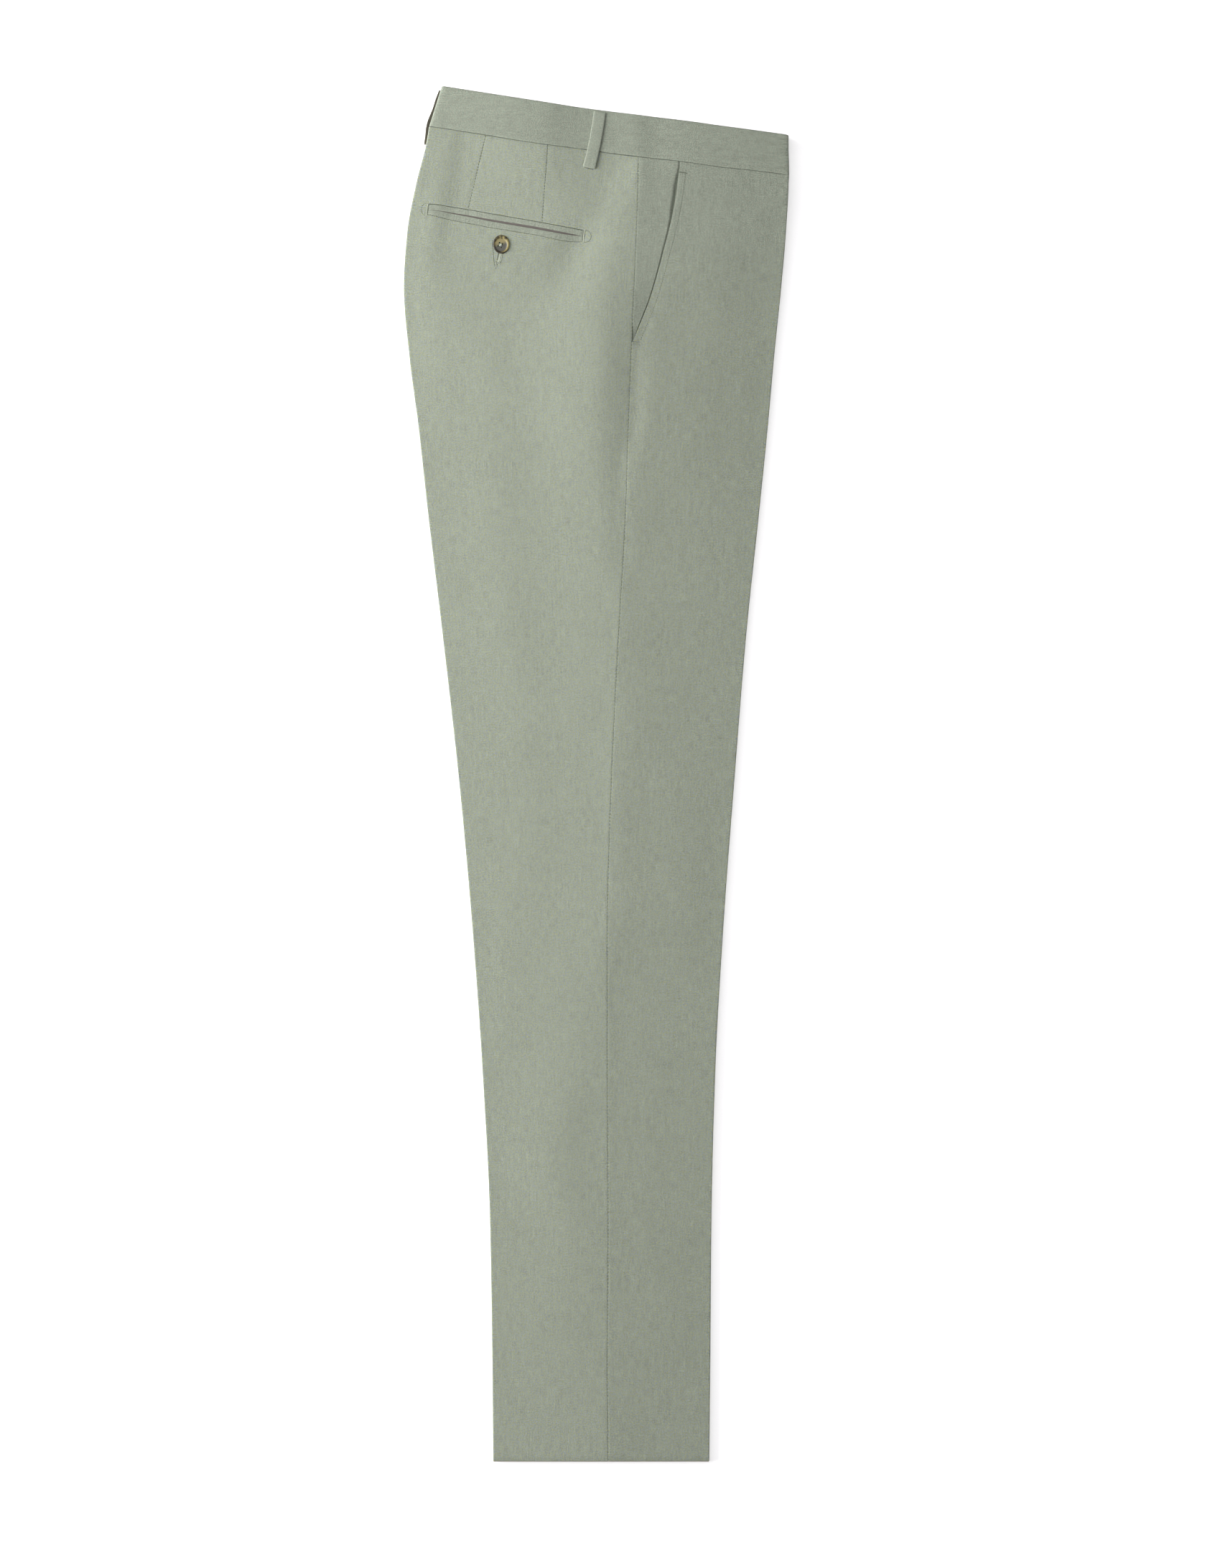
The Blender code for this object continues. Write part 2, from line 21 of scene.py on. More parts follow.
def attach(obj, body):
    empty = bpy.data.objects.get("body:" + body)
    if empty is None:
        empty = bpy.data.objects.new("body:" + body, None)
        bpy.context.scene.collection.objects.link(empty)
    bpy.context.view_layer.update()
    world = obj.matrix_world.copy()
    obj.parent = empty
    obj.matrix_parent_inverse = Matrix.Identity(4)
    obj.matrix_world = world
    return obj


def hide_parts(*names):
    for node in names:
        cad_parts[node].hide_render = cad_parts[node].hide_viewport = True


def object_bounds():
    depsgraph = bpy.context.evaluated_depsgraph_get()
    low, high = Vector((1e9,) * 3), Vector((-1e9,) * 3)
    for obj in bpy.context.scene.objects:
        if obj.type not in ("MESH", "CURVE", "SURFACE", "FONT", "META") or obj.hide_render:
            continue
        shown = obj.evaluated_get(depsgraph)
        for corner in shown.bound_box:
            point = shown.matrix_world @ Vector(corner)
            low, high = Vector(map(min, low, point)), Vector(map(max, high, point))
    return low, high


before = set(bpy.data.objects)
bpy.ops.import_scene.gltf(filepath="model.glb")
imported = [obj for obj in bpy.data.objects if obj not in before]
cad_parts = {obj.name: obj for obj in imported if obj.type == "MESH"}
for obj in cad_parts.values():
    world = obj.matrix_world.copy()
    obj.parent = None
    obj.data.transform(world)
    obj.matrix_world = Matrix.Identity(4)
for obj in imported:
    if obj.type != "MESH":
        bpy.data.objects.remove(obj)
solid_low, solid_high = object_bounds()

MM = 0.001
SEAT_REACH = -168.1            # the outermost place of the seat, across
ORIGIN = Vector((solid_low.x - SEAT_REACH * MM, solid_low.y, 0.0))

# %% [markdown]
# ## The cut
#
# A tailor's pattern is a few numbers at a few heights, joined by fair curves. These tables are
# the same kind of thing. A curve that never swings past its points keeps the straight
# stretches of a leg straight, which an ordinary spline would not. Each panel is a part, front
# or back, of a half, right or left.


# %% Tables that are read on a smooth curve
class Table:
    """Rows of numbers with named columns. The first column is the station to read at."""

    def __init__(self, names, *rows):
        self.names = names.split()
        self.values = np.array(rows, dtype=float)

    def at(self, name, station):
        stations = self.values[:, 0]
        values = self.values[:, self.names.index(name)]
        steps = np.diff(values) / np.diff(stations)
        slopes = np.empty(len(values))
        slopes[0], slopes[-1] = steps[0], steps[-1]
        product, total = steps[:-1] * steps[1:], steps[:-1] + steps[1:]
        slopes[1:-1] = np.where(product > 0, 2 * product / np.where(total == 0, 1, total), 0)
        place = np.clip(station, stations[0], stations[-1])
        k = np.clip(np.searchsorted(stations, place) - 1, 0, len(values) - 2)
        span = stations[k + 1] - stations[k]
        t = (place - stations[k]) / span
        rise = values[k + 1] - values[k]
        bend = span * (slopes[k] * (1 - t) ** 2 * t - slopes[k + 1] * (1 - t) * t * t)
        return values[k] + rise * t * t * (3 - 2 * t) + bend


def smooth(part):
    part = np.clip(part, 0.0, 1.0)
    return part * part * (3 - 2 * part)


def mix(first, last, part):
    return first + (last - first) * part


def spread(knots, counts):
    """Even steps between neighbouring knots. A knot is a number, or an array with one a row."""
    steps = [np.asarray(knots[0], dtype=float)[..., None]]
    for first, last, count in zip(knots, knots[1:], counts):
        first = np.asarray(first, dtype=float)[..., None]
        last = np.asarray(last, dtype=float)[..., None]
        steps.append(mix(first, last, np.arange(1, count + 1) / count))
    return np.concatenate(steps, axis=-1)


# %% The outline and the seams
CUT = Table(
    "height  side_seam  back_edge  front_edge  inseam",
    (0,      0.0,       -94.7,     83.2,       0.0),
    (80,     -0.6,      -95.4,     84.0,       0.0),
    (200,    0.0,       -97.4,     85.0,       0.0),
    (320,    -0.6,      -103.4,    88.1,       0.0),
    (440,    -0.6,      -111.9,    94.8,       0.5),
    (560,    2.7,       -122.8,    103.8,      2.0),
    (680,    8.6,       -136.3,    113.6,      4.0),
    (780,    14.2,      -148.3,    124.1,      5.5),
    (850,    16.5,      -156.0,    131.2,      6.0),
    (910,    18.8,      -163.7,    136.6,      6.0),
    (965,    21.2,      -168.1,    142.2,      6.0),
    (1010,   23.0,      -165.3,    146.0,      6.0),
    (1050,   24.5,      -157.8,    148.1,      6.0),
    (1083,   25.1,      -149.3,    148.4,      6.0),
    (1097,   25.1,      -146.9,    148.4,      6.0),
)
WAIST = Table(
    "across   seam     top",
    (-146.9,  1096.9,  1131.9),
    (-110.3,  1091.2,  1125.9),
    (-57.2,   1082.4,  1117.4),
    (-27.7,   1078.8,  1113.0),
    (1.8,     1074.7,  1109.1),
    (31.3,    1071.1,  1105.4),
    (66.7,    1067.0,  1101.0),
    (90.3,    1063.5,  1097.7),
    (113.9,   1061.1,  1094.6),
    (148.1,   1057.0,  1090.0),
)
SLANT = Table(
    "height  across",
    (919.8,  19.8),
    (958.5,  35.2),
    (1000.9, 47.0),
    (1022.2, 52.3),
    (1043.4, 56.1),
    (1064.7, 58.6),
)
SIDE_TOP = 1071.6              # the side seam, from the hem to the waistband
LEAN_FROM = 930.0              # above this the rows lean to meet the slanted waist seam
CROTCH = 839.0
POCKET_FOOT = 920.0
HALVES = ("right", "left")
UP = {"right": 1, "left": -1}  # which way the outer side of a half faces
AWAY = {"front": 1, "back": -1}     # which way a part lies from the side seam
SEAM_GAP = 0.3
SEAM_SHOWS = 0.08              # the gap that is left between two panels at a closed seam
BAND_TOP_BACK, BAND_BACK, BAND_FRONT = -136.5, -146.9, 148.1
RISE = {                       # the fly seam and the seat seam, above the crotch
    "front": {"turn": (50.0, 900.0), "top": 56.0},
    "back": {"turn": (-108.0, 925.0), "top": -102.0},
}
print("cut:", len(CUT.values), "heights,", len(WAIST.values), "places along the waist")

# %% [markdown]
# ## The stack of layers
#
# Lying flat, each place of the trousers has four layers of cloth: left outer, left inner,
# right inner, right outer. They are thin at the hem and thicker at the waist, where pockets
# and loops lie between them. The cloth seen from above follows the right outer layer.

# %% Height of each layer above the floor
STACK = Table(
    "row     left_outer  left_inner  right_inner  right_outer",
    (0,      0.5,        2.1,        3.9,         5.5),
    (700,    0.5,        2.1,        3.9,         5.5),
    (CROTCH, 0.5,        2.3,        4.4,         6.4),
    (920,    0.5,        3.1,        5.6,         8.6),
    (1000,   0.5,        4.2,        7.6,         11.0),
    (1030,   0.7,        4.8,        8.8,         12.4),
    (1050,   2.2,        5.1,        9.6,         13.2),
    (SIDE_TOP, 2.3,      5.1,        10.0,        13.3),
)
EDGE_DROP = Table(              # how much lower the outer layer lies at its crease
    "row     back   front",
    (820,    0.0,   0.0),
    (860,    0.4,   0.4),
    (920,    1.2,   1.2),
    (965,    1.5,   1.5),
    (1005,   1.4,   1.5),
    (1035,   0.5,   1.0),
    (1058,   0.1,   0.5),
    (SIDE_TOP, 0.0, 0.0),
)
EDGE_REACH = {"back": 28.0, "front": 60.0}
BAND_STACK = {"left_outer": 2.5, "left_inner": 5.1, "right_inner": 10.0, "right_outer": 13.0}
BAND_CENTRE = (BAND_STACK["left_inner"] + BAND_STACK["right_inner"]) / 2
CLOTH = 1.0
BAND_WALL = 2.0


def leaning(row):
    return smooth((row - LEAN_FROM) / (SIDE_TOP - LEAN_FROM))


def lean(seam_height, row):
    """How far a row lies above its name's height."""
    return (seam_height - SIDE_TOP) * leaning(row)


def row_at(across, height):
    """The row of the stack that passes through a place on an outer layer."""
    row = height
    for _ in range(8):
        row = height - lean(WAIST.at("seam", across), row)
    return row


def edge_fall(across, height):
    """How far the upper cloth falls towards its creases."""
    row = row_at(across, height)
    falls = 0.0
    for part, room in (("back", across - CUT.at("back_edge", height)),
                       ("front", CUT.at("front_edge", height) - across)):
        falls = falls + EDGE_DROP.at(part, row) * (1 - smooth(room / EDGE_REACH[part]))
    return falls


def slant_edge(row):
    """Edge of the slant pocket at a row."""
    across = SLANT.at("across", row)
    return SLANT.at("across", row + lean(WAIST.at("seam", across), row))


top_at_hem, top_at_waist = (round(float(STACK.at("right_outer", row)), 1) for row in (0, SIDE_TOP))
print("top layer is", top_at_hem, "mm up at the hem and", top_at_waist, "mm at the waist")

# %% [markdown]
# ## Soft swells and creases
#
# Pressed linen is never quite flat. The seat and the pocket bag push the cloth up into a long
# ridge beside the side seam, and gentler ones run down the leg. Each ridge is a table down the
# leg: where its crest is, how far it slopes to each side and how high it stands, so one side
# can be steep and the other gentle, as where cloth rolls over the layer beneath. Short creases
# run from one place to another. A rise below nothing is a hollow. A cloth simulation would give
# folds too, but not these ones, so they are listed one by one.

# %% Ridges that run down the leg
RIDGES = {
    "over_the_hip": Table(
        "height  across  left   right  rise",
        (700,    0.0,    34.0,  24.0,  0.2),
        (740,    -9.0,   34.0,  18.0,  0.9),
        (770,    -8.0,   36.0,  16.0,  1.2),
        (800,    -10.0,  38.0,  18.0,  1.8),
        (820,    -11.0,  40.0,  20.0,  2.5),
        (840,    -11.0,  42.0,  22.0,  3.2),
        (860,    -12.0,  44.0,  24.0,  3.8),
        (880,    -12.0,  45.0,  25.0,  4.2),
        (900,    -10.0,  46.0,  24.0,  4.3),
        (930,    -9.0,   42.0,  25.0,  4.3),
        (945,    -8.0,   38.0,  26.0,  4.2),
        (960,    -5.0,   30.0,  28.0,  3.6),
        (975,    -3.0,   24.0,  28.0,  2.7),
        (990,    -1.0,   20.0,  26.0,  1.7),
        (1010,   4.0,    20.0,  22.0,  1.2),
        (1040,   14.0,   18.0,  20.0,  0.7),
        (1072,   20.0,   18.0,  20.0,  0.3),
    ),
    "under_the_loop": Table(
        "height  across  left   right  rise",
        (962,    -40.0,  14.0,  20.0,  0.0),
        (975,    -38.0,  14.0,  20.0,  -0.8),
        (990,    -32.0,  15.0,  20.0,  -1.3),
        (1005,   -22.0,  16.0,  25.0,  -2.3),
        (1020,   -12.0,  16.0,  18.0,  -0.8),
        (1035,   -4.0,   17.0,  16.0,  -1.3),
        (1050,   -1.0,   18.0,  17.0,  -1.4),
        (1062,   9.0,    20.0,  15.0,  -1.4),
        (1073,   23.0,   24.0,  13.0,  -1.4),
    ),
    "into_the_side_seam": Table(
        "height  across  left   right  rise",
        (720,    12.0,   9.0,   5.0,   0.0),
        (740,    13.0,   9.0,   5.0,   -0.4),
        (770,    14.0,   8.0,   5.0,   -0.3),
        (800,    12.0,   8.0,   5.0,   -0.4),
        (820,    12.0,   8.0,   6.0,   -0.5),
        (840,    17.0,   9.0,   8.0,   -0.8),
        (860,    20.0,   10.0,  9.0,   -1.0),
        (880,    21.0,   10.0,  9.0,   -1.2),
        (900,    21.0,   10.0,  9.0,   -1.1),
        (915,    22.0,   10.0,  7.0,   -0.6),
        (930,    28.0,   9.0,   5.0,   -0.8),
        (960,    36.0,   9.0,   5.0,   -0.6),
        (990,    46.0,   9.0,   5.0,   -0.2),
        (1000,   48.0,   9.0,   5.0,   0.0),
    ),
    "over_the_pocket_bag": Table(
        "height  across  left   right  rise",
        (560,    20.0,   60.0,  60.0,  0.0),
        (700,    24.0,   70.0,  70.0,  0.7),
        (800,    30.0,   70.0,  70.0,  1.1),
        (900,    34.0,   60.0,  70.0,  1.2),
        (1000,   40.0,   46.0,  70.0,  0.6),
        (1050,   44.0,   40.0,  70.0,  0.1),
        (1072,   44.0,   40.0,  70.0,  0.0),
    ),
    "below_the_pocket": Table(
        "height  across  left   right  rise",
        (740,    24.0,   12.0,  50.0,  0.0),
        (770,    24.0,   12.0,  50.0,  0.3),
        (800,    25.0,   12.0,  50.0,  0.6),
        (820,    28.0,   12.0,  50.0,  1.0),
        (840,    33.0,   13.0,  50.0,  1.3),
        (860,    36.0,   14.0,  50.0,  1.4),
        (880,    38.0,   16.0,  50.0,  1.2),
        (900,    42.0,   18.0,  50.0,  1.0),
        (920,    44.0,   16.0,  50.0,  0.6),
        (950,    46.0,   14.0,  50.0,  0.0),
    ),
    "along_the_seam": Table(
        "height  across  left   right  rise",
        (400,    10.0,   12.0,  50.0,  0.0),
        (460,    13.0,   12.0,  50.0,  0.9),
        (540,    15.0,   14.0,  50.0,  0.8),
        (610,    19.0,   14.0,  50.0,  1.0),
        (680,    22.0,   14.0,  50.0,  0.2),
        (740,    24.0,   14.0,  50.0,  0.0),
    ),
    "down_the_calf": Table(
        "height  across  left   right  rise",
        (20,     -30.0,  36.0,  34.0,  0.3),
        (70,     -32.0,  34.0,  30.0,  0.4),
        (120,    -36.0,  30.0,  28.0,  0.7),
        (180,    -29.0,  34.0,  26.0,  1.3),
        (240,    -43.0,  30.0,  26.0,  1.9),
        (300,    -38.0,  34.0,  26.0,  1.6),
        (360,    -27.0,  40.0,  22.0,  1.0),
        (420,    -11.0,  46.0,  18.0,  0.8),
        (470,    -8.0,   46.0,  18.0,  0.0),
    ),
}

# %% Short creases
CREASES = (
    # across_1 height_1  across_2 height_2  left   right  rise
    (-103.0,   900.0,    -92.0,   700.0,    22.0,  26.0,  0.5),
    (-96.0,    880.0,    -66.0,   560.0,    16.0,  22.0,  0.4),
    (60.0,     560.0,    58.0,    440.0,    22.0,  24.0,  0.5),
    (30.0,     330.0,    40.0,    120.0,    16.0,  30.0,  0.4),
    (92.0,     1010.0,   84.0,    800.0,    24.0,  26.0,  0.4),
    (120.0,    900.0,    106.0,   640.0,    12.0,  14.0,  0.3),
    (-70.0,    480.0,    -84.0,   380.0,    20.0,  22.0,  0.4),
    (-120.5,   1052.0,   -123.5,  1036.0,   12.5,  48.0,  -1.7),
)
BAND_WAVES = (
    # across  left   right  height
    (-56.0,   54.0,  25.0,  2.5),
    (24.0,    15.0,  11.0,  1.0),
    (60.0,    18.0,  60.0,  1.1),
    (112.0,   18.0,  20.0,  0.3),
)
BAND_WAVE_REACH = (1030.0, 1074.0)      # the band's waves run on into the cloth below it
FLAT_EDGE, SWELL_FADE = 1.0, 24.0       # the cloth's edges are flat, and the swells rise from there


def rounded(beside, left, right):
    """A soft bump, as high as one, with its own width to each side."""
    return np.exp(-(beside / np.where(beside < 0, left, right)) ** 2)


def band_wave(across):
    return sum(rise * rounded(across - crest, left, right) for crest, left, right, rise in BAND_WAVES)


def swell(across, height):
    """Height of all the swells at a place. They fade out before the pressed edges."""
    lift = np.zeros(np.broadcast(across, height).shape)
    for ridge in RIDGES.values():
        crest, left, right, rise = (ridge.at(name, height) for name in ridge.names[1:])
        lift = lift + rise * rounded(across - crest, left, right)
    for x_1, y_1, x_2, y_2, left, right, rise in CREASES:
        run_x, run_y = x_2 - x_1, y_2 - y_1
        length = math.hypot(run_x, run_y)
        along = ((across - x_1) * run_x + (height - y_1) * run_y) / length
        beside = ((across - x_1) * -run_y + (height - y_1) * run_x) / length
        past = np.maximum(np.maximum(-along, along - length), 0)
        lift = lift + rise * rounded(beside, left, right) * np.exp(-(past / (left + right)) ** 2)
    low, high = BAND_WAVE_REACH
    lift = lift + band_wave(across) * smooth((height - low) / (high - low))
    room = np.minimum(across - CUT.at("back_edge", height), CUT.at("front_edge", height) - across)
    return lift * smooth((room - FLAT_EDGE) / SWELL_FADE)


SEAM_ROLL, WAIST_ROLL = (0.6, 0.16), (0.8, 0.3)     # the width and depth of narrow hollows
TOPSTITCH_DENT, DART_DENT = (0.5, 0.07), (0.45, 0.10)


def dent(distance, width, depth):
    """A narrow hollow along a line, as a level to add."""
    return -depth * np.exp(-(distance / width) ** 2)


print("ridges:", len(RIDGES), "and short creases:", len(CREASES))

# %% [markdown]
# ## Walls of cloth
#
# Cloth can be a single sheet with a Solidify modifier, but here each wall also folds round a
# crease, thins at a rolled edge and has an opening for a pocket. So a flat grid is doubled by
# one extrusion, and a function puts every corner of both faces where the cloth is. The same
# function says where the corner is on the uncut cloth, which becomes the UV map that the
# weave follows.


# %% One wall of cloth
def cut_opening(shape, columns, rows, first_column, last_column, first_row, last_row):
    """Takes the patches between these columns and rows out of a flat grid."""
    cut_out = []
    for patch in shape.faces:
        middle = patch.calc_center_median()
        column, row = (middle.x + 0.5) * columns, (middle.y + 0.5) * rows
        if first_column < column < last_column and first_row < row < last_row:
            cut_out.append(patch)
    bmesh.ops.delete(shape, geom=cut_out, context="FACES")


def make_cloth(name, columns, rows, place, opening=None):
    """place(column, row, face) gives across, height and level, and the place on the cloth."""
    shape = bmesh.new()
    bmesh.ops.create_grid(shape, x_segments=columns, y_segments=rows, size=0.5)
    if opening:
        cut_opening(shape, columns, rows, *opening)
    wall = bmesh.ops.extrude_face_region(shape, geom=shape.faces[:])
    outer = {corner for corner in wall["geom"] if isinstance(corner, bmesh.types.BMVert)}
    flat = np.array([corner.co[:2] for corner in shape.verts]) + 0.5
    face = np.array([1 if corner in outer else -1 for corner in shape.verts])
    column = np.rint(flat[:, 0] * columns).astype(int)
    row = np.rint(flat[:, 1] * rows).astype(int)
    across, height, level, grain_across, grain_along = place(column, row, face)
    for corner, *spot in zip(shape.verts, across, height, level):
        corner.co = Vector(spot) * MM + ORIGIN
    bmesh.ops.recalc_face_normals(shape, faces=shape.faces)
    piece = make_object(name, shape)
    lay_grain(piece, grain_across, grain_along)
    return piece


def make_object(name, shape, sharp_from=50.0):
    mesh = bpy.data.meshes.new(name)
    shape.to_mesh(mesh)
    shape.free()
    mesh.shade_smooth()
    mesh.set_sharp_from_angle(angle=math.radians(sharp_from))
    piece = bpy.data.objects.new(name, mesh)
    bpy.context.scene.collection.objects.link(piece)
    return piece


def lay_grain(piece, grain_across, grain_along):
    """The UV map: each corner's place on the cloth before it was sewn, in metres."""
    mesh = piece.data
    corner_of_loop = np.empty(len(mesh.loops), dtype=int)
    mesh.loops.foreach_get("vertex_index", corner_of_loop)
    places = np.stack([grain_across, grain_along], axis=-1)[corner_of_loop] * MM
    layer = mesh.uv_layers.new(name="cloth")
    layer.data.foreach_set("uv", places.ravel())


# %% [markdown]
# ## Thread, weave and shader sums
#
# A material is a small network of nodes. Sums are easier to read as sums, so one class lets
# a socket be added, taken away and multiplied like a number, and one method makes any other
# node. The linen is built from yarns: long, slightly uneven stripes one way for the warp and
# the other way for the weft, in two tints that cross. Thick places in a yarn, the slubs, are
# what tells linen from cotton.


# %% Sums on sockets
class Number:
    """A socket that carries a number. Python's operators on it add Math nodes."""

    def __init__(self, finish, socket):
        self.finish = finish
        self.socket = socket

    def sum_with(self, operation, *others):
        node = self.finish.node("ShaderNodeMath", {"operation": operation}, *others)
        return Number(self.finish, node.outputs[0])

    def __add__(self, other):
        return self.sum_with("ADD", self, other)

    def __sub__(self, other):
        return self.sum_with("SUBTRACT", self, other)

    def __rsub__(self, other):
        return self.sum_with("SUBTRACT", other, self)

    def __mul__(self, other):
        return self.sum_with("MULTIPLY", self, other)

    def __truediv__(self, other):
        return self.sum_with("DIVIDE", self, other)

    def __rtruediv__(self, other):
        return self.sum_with("DIVIDE", other, self)

    def __pow__(self, other):
        return self.sum_with("POWER", self, other)

    def sine(self):
        return self.sum_with("SINE", self)

    def clamped(self):
        node = self.finish.node("ShaderNodeClamp", {}, self)
        return Number(self.finish, node.outputs[0])

    __radd__ = __add__
    __rmul__ = __mul__


class Finish:
    """A material: one Principled shader, and the nodes that lead to it."""

    def __init__(self, name, **constants):
        self.material = bpy.data.materials.new(name)
        self.material.use_nodes = True
        self.tree = self.material.node_tree
        self.shader = self.tree.nodes["Principled BSDF"]
        for socket, value in constants.items():
            self.shader.inputs[socket.replace("_", " ")].default_value = value

    def node(self, kind, settings, *values, **named):
        """Any node: its settings first, then the values or links of its sockets."""
        node = self.tree.nodes.new(kind)
        for setting, value in settings.items():
            setattr(node, setting, value)
        sockets = [socket for socket in node.inputs if socket.enabled]
        pairs = list(zip(sockets, values))
        for name, value in named.items():
            pairs.append((next(socket for socket in sockets if socket.name == name), value))
        for socket, value in pairs:
            self.set(socket, value)
        return node

    def set(self, socket, value):
        value = value.socket if isinstance(value, Number) else value
        if isinstance(value, bpy.types.NodeSocket):
            self.tree.links.new(value, socket)
        else:
            socket.default_value = value

    def number(self, socket):
        return Number(self, socket)

    def colours(self, first, last, factor, blend="MIX"):
        node = self.node("ShaderNodeMix", {"data_type": "RGBA", "blend_type": blend},
                         Factor=factor, A=first, B=last)
        return next(socket for socket in node.outputs if socket.enabled)

    def noise(self, x, y, z=0.0, detail=2.0):
        place = self.node("ShaderNodeCombineXYZ", {}, x, y, z).outputs[0]
        node = self.node("ShaderNodeTexNoise", {}, Vector=place, Scale=1.0, Detail=detail)
        return self.number(node.outputs[0])


def linear(red, green, blue):
    """A colour that is named as it looks on a screen, from 0 to 255, for a shader."""
    parts = [value / 255 for value in (red, green, blue)]
    return tuple(p / 12.92 if p < 0.04045 else ((p + 0.055) / 1.055) ** 2.4 for p in parts) + (1.0,)


# %% The linen
WARP_COLOUR = linear(163, 168, 120)     # yellowish sage
WEFT_COLOUR = linear(146, 155, 171)     # greyish lilac green
YARN = 0.62                             # from one yarn to the next, in millimetres
HEM_EDGE_COLOUR = linear(150, 132, 122)
UNEVEN = {      # kinds of noise: how fine across and along, own place, detail, what counts as none
    "warp":   (1.6,  0.13, 0.0,  2.0, 0.5),
    "weft":   (0.15, 1.6,  11.0, 2.0, 0.5),
    "fuzz":   (1.25, 1.25, 19.0, 1.0, 0.5),
    "hue":    (1.2,  1.1,  31.0, 1.0, 0.5),
    "blush":  (0.8,  0.6,  71.0, 3.0, 0.5),
    "streak": (0.9,  0.03, 23.0, 2.0, 0.5),
    "patch":  (0.22, 0.13, 83.0, 2.0, 0.5),
    "cloud":  (0.03, 0.02, 43.0, 3.0, 0.5),
    "slub":   (0.06, 0.9,  57.0, 0.0, 0.72),
}


def linen(name, tone=1.0, number=0, hem=False, plain_from=2000.0, shade_per_metre=0.0):
    """Plain weave linen. tone makes it lighter or darker, number gives each piece its own yarns,
    they differ little in colour from plain_from up, and shade_per_metre is painted shade that deepens by
    so much a metre along."""
    made = Finish(name, Roughness=0.88, Sheen_Weight=0.12, Sheen_Roughness=0.45, IOR=1.4)
    place = made.node("ShaderNodeUVMap", {"uv_map": "cloth"}).outputs[0]
    parts = made.node("ShaderNodeSeparateXYZ", {}, place).outputs
    u, v = made.number(parts[0]) * 1000.0, made.number(parts[1]) * 1000.0
    warp, weft, fuzz, hue, blush, streak, patch, cloud, slub = (
        made.noise(u * across, v * along, 37.0 * number + own_place, detail) - none
        for across, along, own_place, detail, none in UNEVEN.values())
    slub = slub.clamped() * 5.0

    over = (u * (math.pi / YARN) + warp * 3.0).sine() * (v * (math.pi / YARN) + weft * 3.0).sine()
    tinted = (1.0 + (plain_from - v) / 80.0).clamped() * 0.9 + 0.1
    tint = (0.52 + (over * 0.3 + hue * 2.2 + (warp - weft) * 0.3) * tinted).clamped()
    colour = made.colours(WEFT_COLOUR, WARP_COLOUR, tint)
    # painted shade: shade_per_metre dims the colour further along the cloth, on top of the piece's tone
    light = tone - v * (shade_per_metre / 1000.0)
    light = light + fuzz * 1.3 + warp * 0.45 + weft * 0.35 + over * 0.18
    light = light + streak * 0.25 + patch * 0.18 + cloud * 0.10 + slub * 0.12
    grey = made.node("ShaderNodeCombineColor", {}, light + blush * 0.3, light, light).outputs[0]
    colour = made.colours(colour, grey, 1.0, "MULTIPLY")
    if hem:
        edge = (1.0 - v / 0.8).clamped() * 0.75
        colour = made.colours(colour, HEM_EDGE_COLOUR, edge)
    made.set(made.shader.inputs["Base Color"], colour)

    relief = over * 0.12 + warp * 0.5 + weft * 0.45 + fuzz * 0.5 + slub * 0.25
    bump = made.node("ShaderNodeBump", {}, Strength=0.5, Distance=0.00012, Height=relief)
    made.set(made.shader.inputs["Normal"], bump.outputs[0])
    made.set(made.shader.inputs["Roughness"], 0.86 + warp * 0.15)
    return made.material


def thread(name, colour, number):
    made = Finish(name, Roughness=0.7, Sheen_Weight=0.1)
    place = made.node("ShaderNodeTexCoord", {}).outputs["Object"]
    parts = made.node("ShaderNodeSeparateXYZ", {}, place).outputs
    x, y = made.number(parts[0]) * 1000.0, made.number(parts[1]) * 1000.0
    twist = made.noise(x * 3.0, y * 3.0, 5.0 * number, 1.0) - 0.5
    light = 1.0 + twist * 0.8
    grey = made.node("ShaderNodeCombineColor", {}, light, light, light).outputs[0]
    made.set(made.shader.inputs["Base Color"], made.colours(colour, grey, 1.0, "MULTIPLY"))
    bump = made.node("ShaderNodeBump", {}, Strength=0.4, Distance=0.0002, Height=twist)
    made.set(made.shader.inputs["Normal"], bump.outputs[0])
    return made.material


# The front's lower tone, and the shade that deepens along the front and along the band, are painted
# shade.
FINISHES = {
    "back": linen("linen_back", 0.97, 0, hem=True),
    "front": linen("linen_front", 0.905, 1, hem=True, plain_from=940.0, shade_per_metre=0.07),
    "facing": linen("linen_facing", 0.86, 2, plain_from=0.0),
    "band": linen("linen_band", 0.88, 3, plain_from=-2000.0, shade_per_metre=0.35),
    "trim": linen("linen_trim", 0.93, 4, plain_from=-2000.0),
    # painted shade: the inside of the back loop gets a dark colour for the shade it lies in
    "shaded": thread("loop_inside", linear(104, 99, 89), 6),
}
print("linen finishes:", ", ".join(FINISHES))

# %% [markdown]
# ## The folded section
#
# A leg panel runs from the side seam out to its crease, turns back there, and comes in again
# to the inseam. Above the crotch it comes in to the fly seam or the seat seam instead, and its
# free end curls towards the other half, where it was sewn. That section is worked out for
# every row at once, and the waistband uses it too.


# %% The section round a crease
class Section:
    """Stations along a wall at every row, each in an array of rows by columns."""

    def __init__(self, across, level, out, up, inwards, around):
        self.across, self.level = across, level
        self.out, self.up = out, up
        self.inwards, self.around = inwards, around

    def joined(self, other):
        """Another section after this one. It starts on this one's last station."""
        parts = [np.concatenate([mine, its[:, 1:]], axis=1)
                 for mine, its in zip(vars(self).values(), vars(other).values())]
        return Section(*parts)

    def turned_round(self):
        return Section(*(values[:, ::-1] for values in vars(self).values()))


PRESSED = 0.16                 # 1 is a round fold, and less is a squarer, pressed one


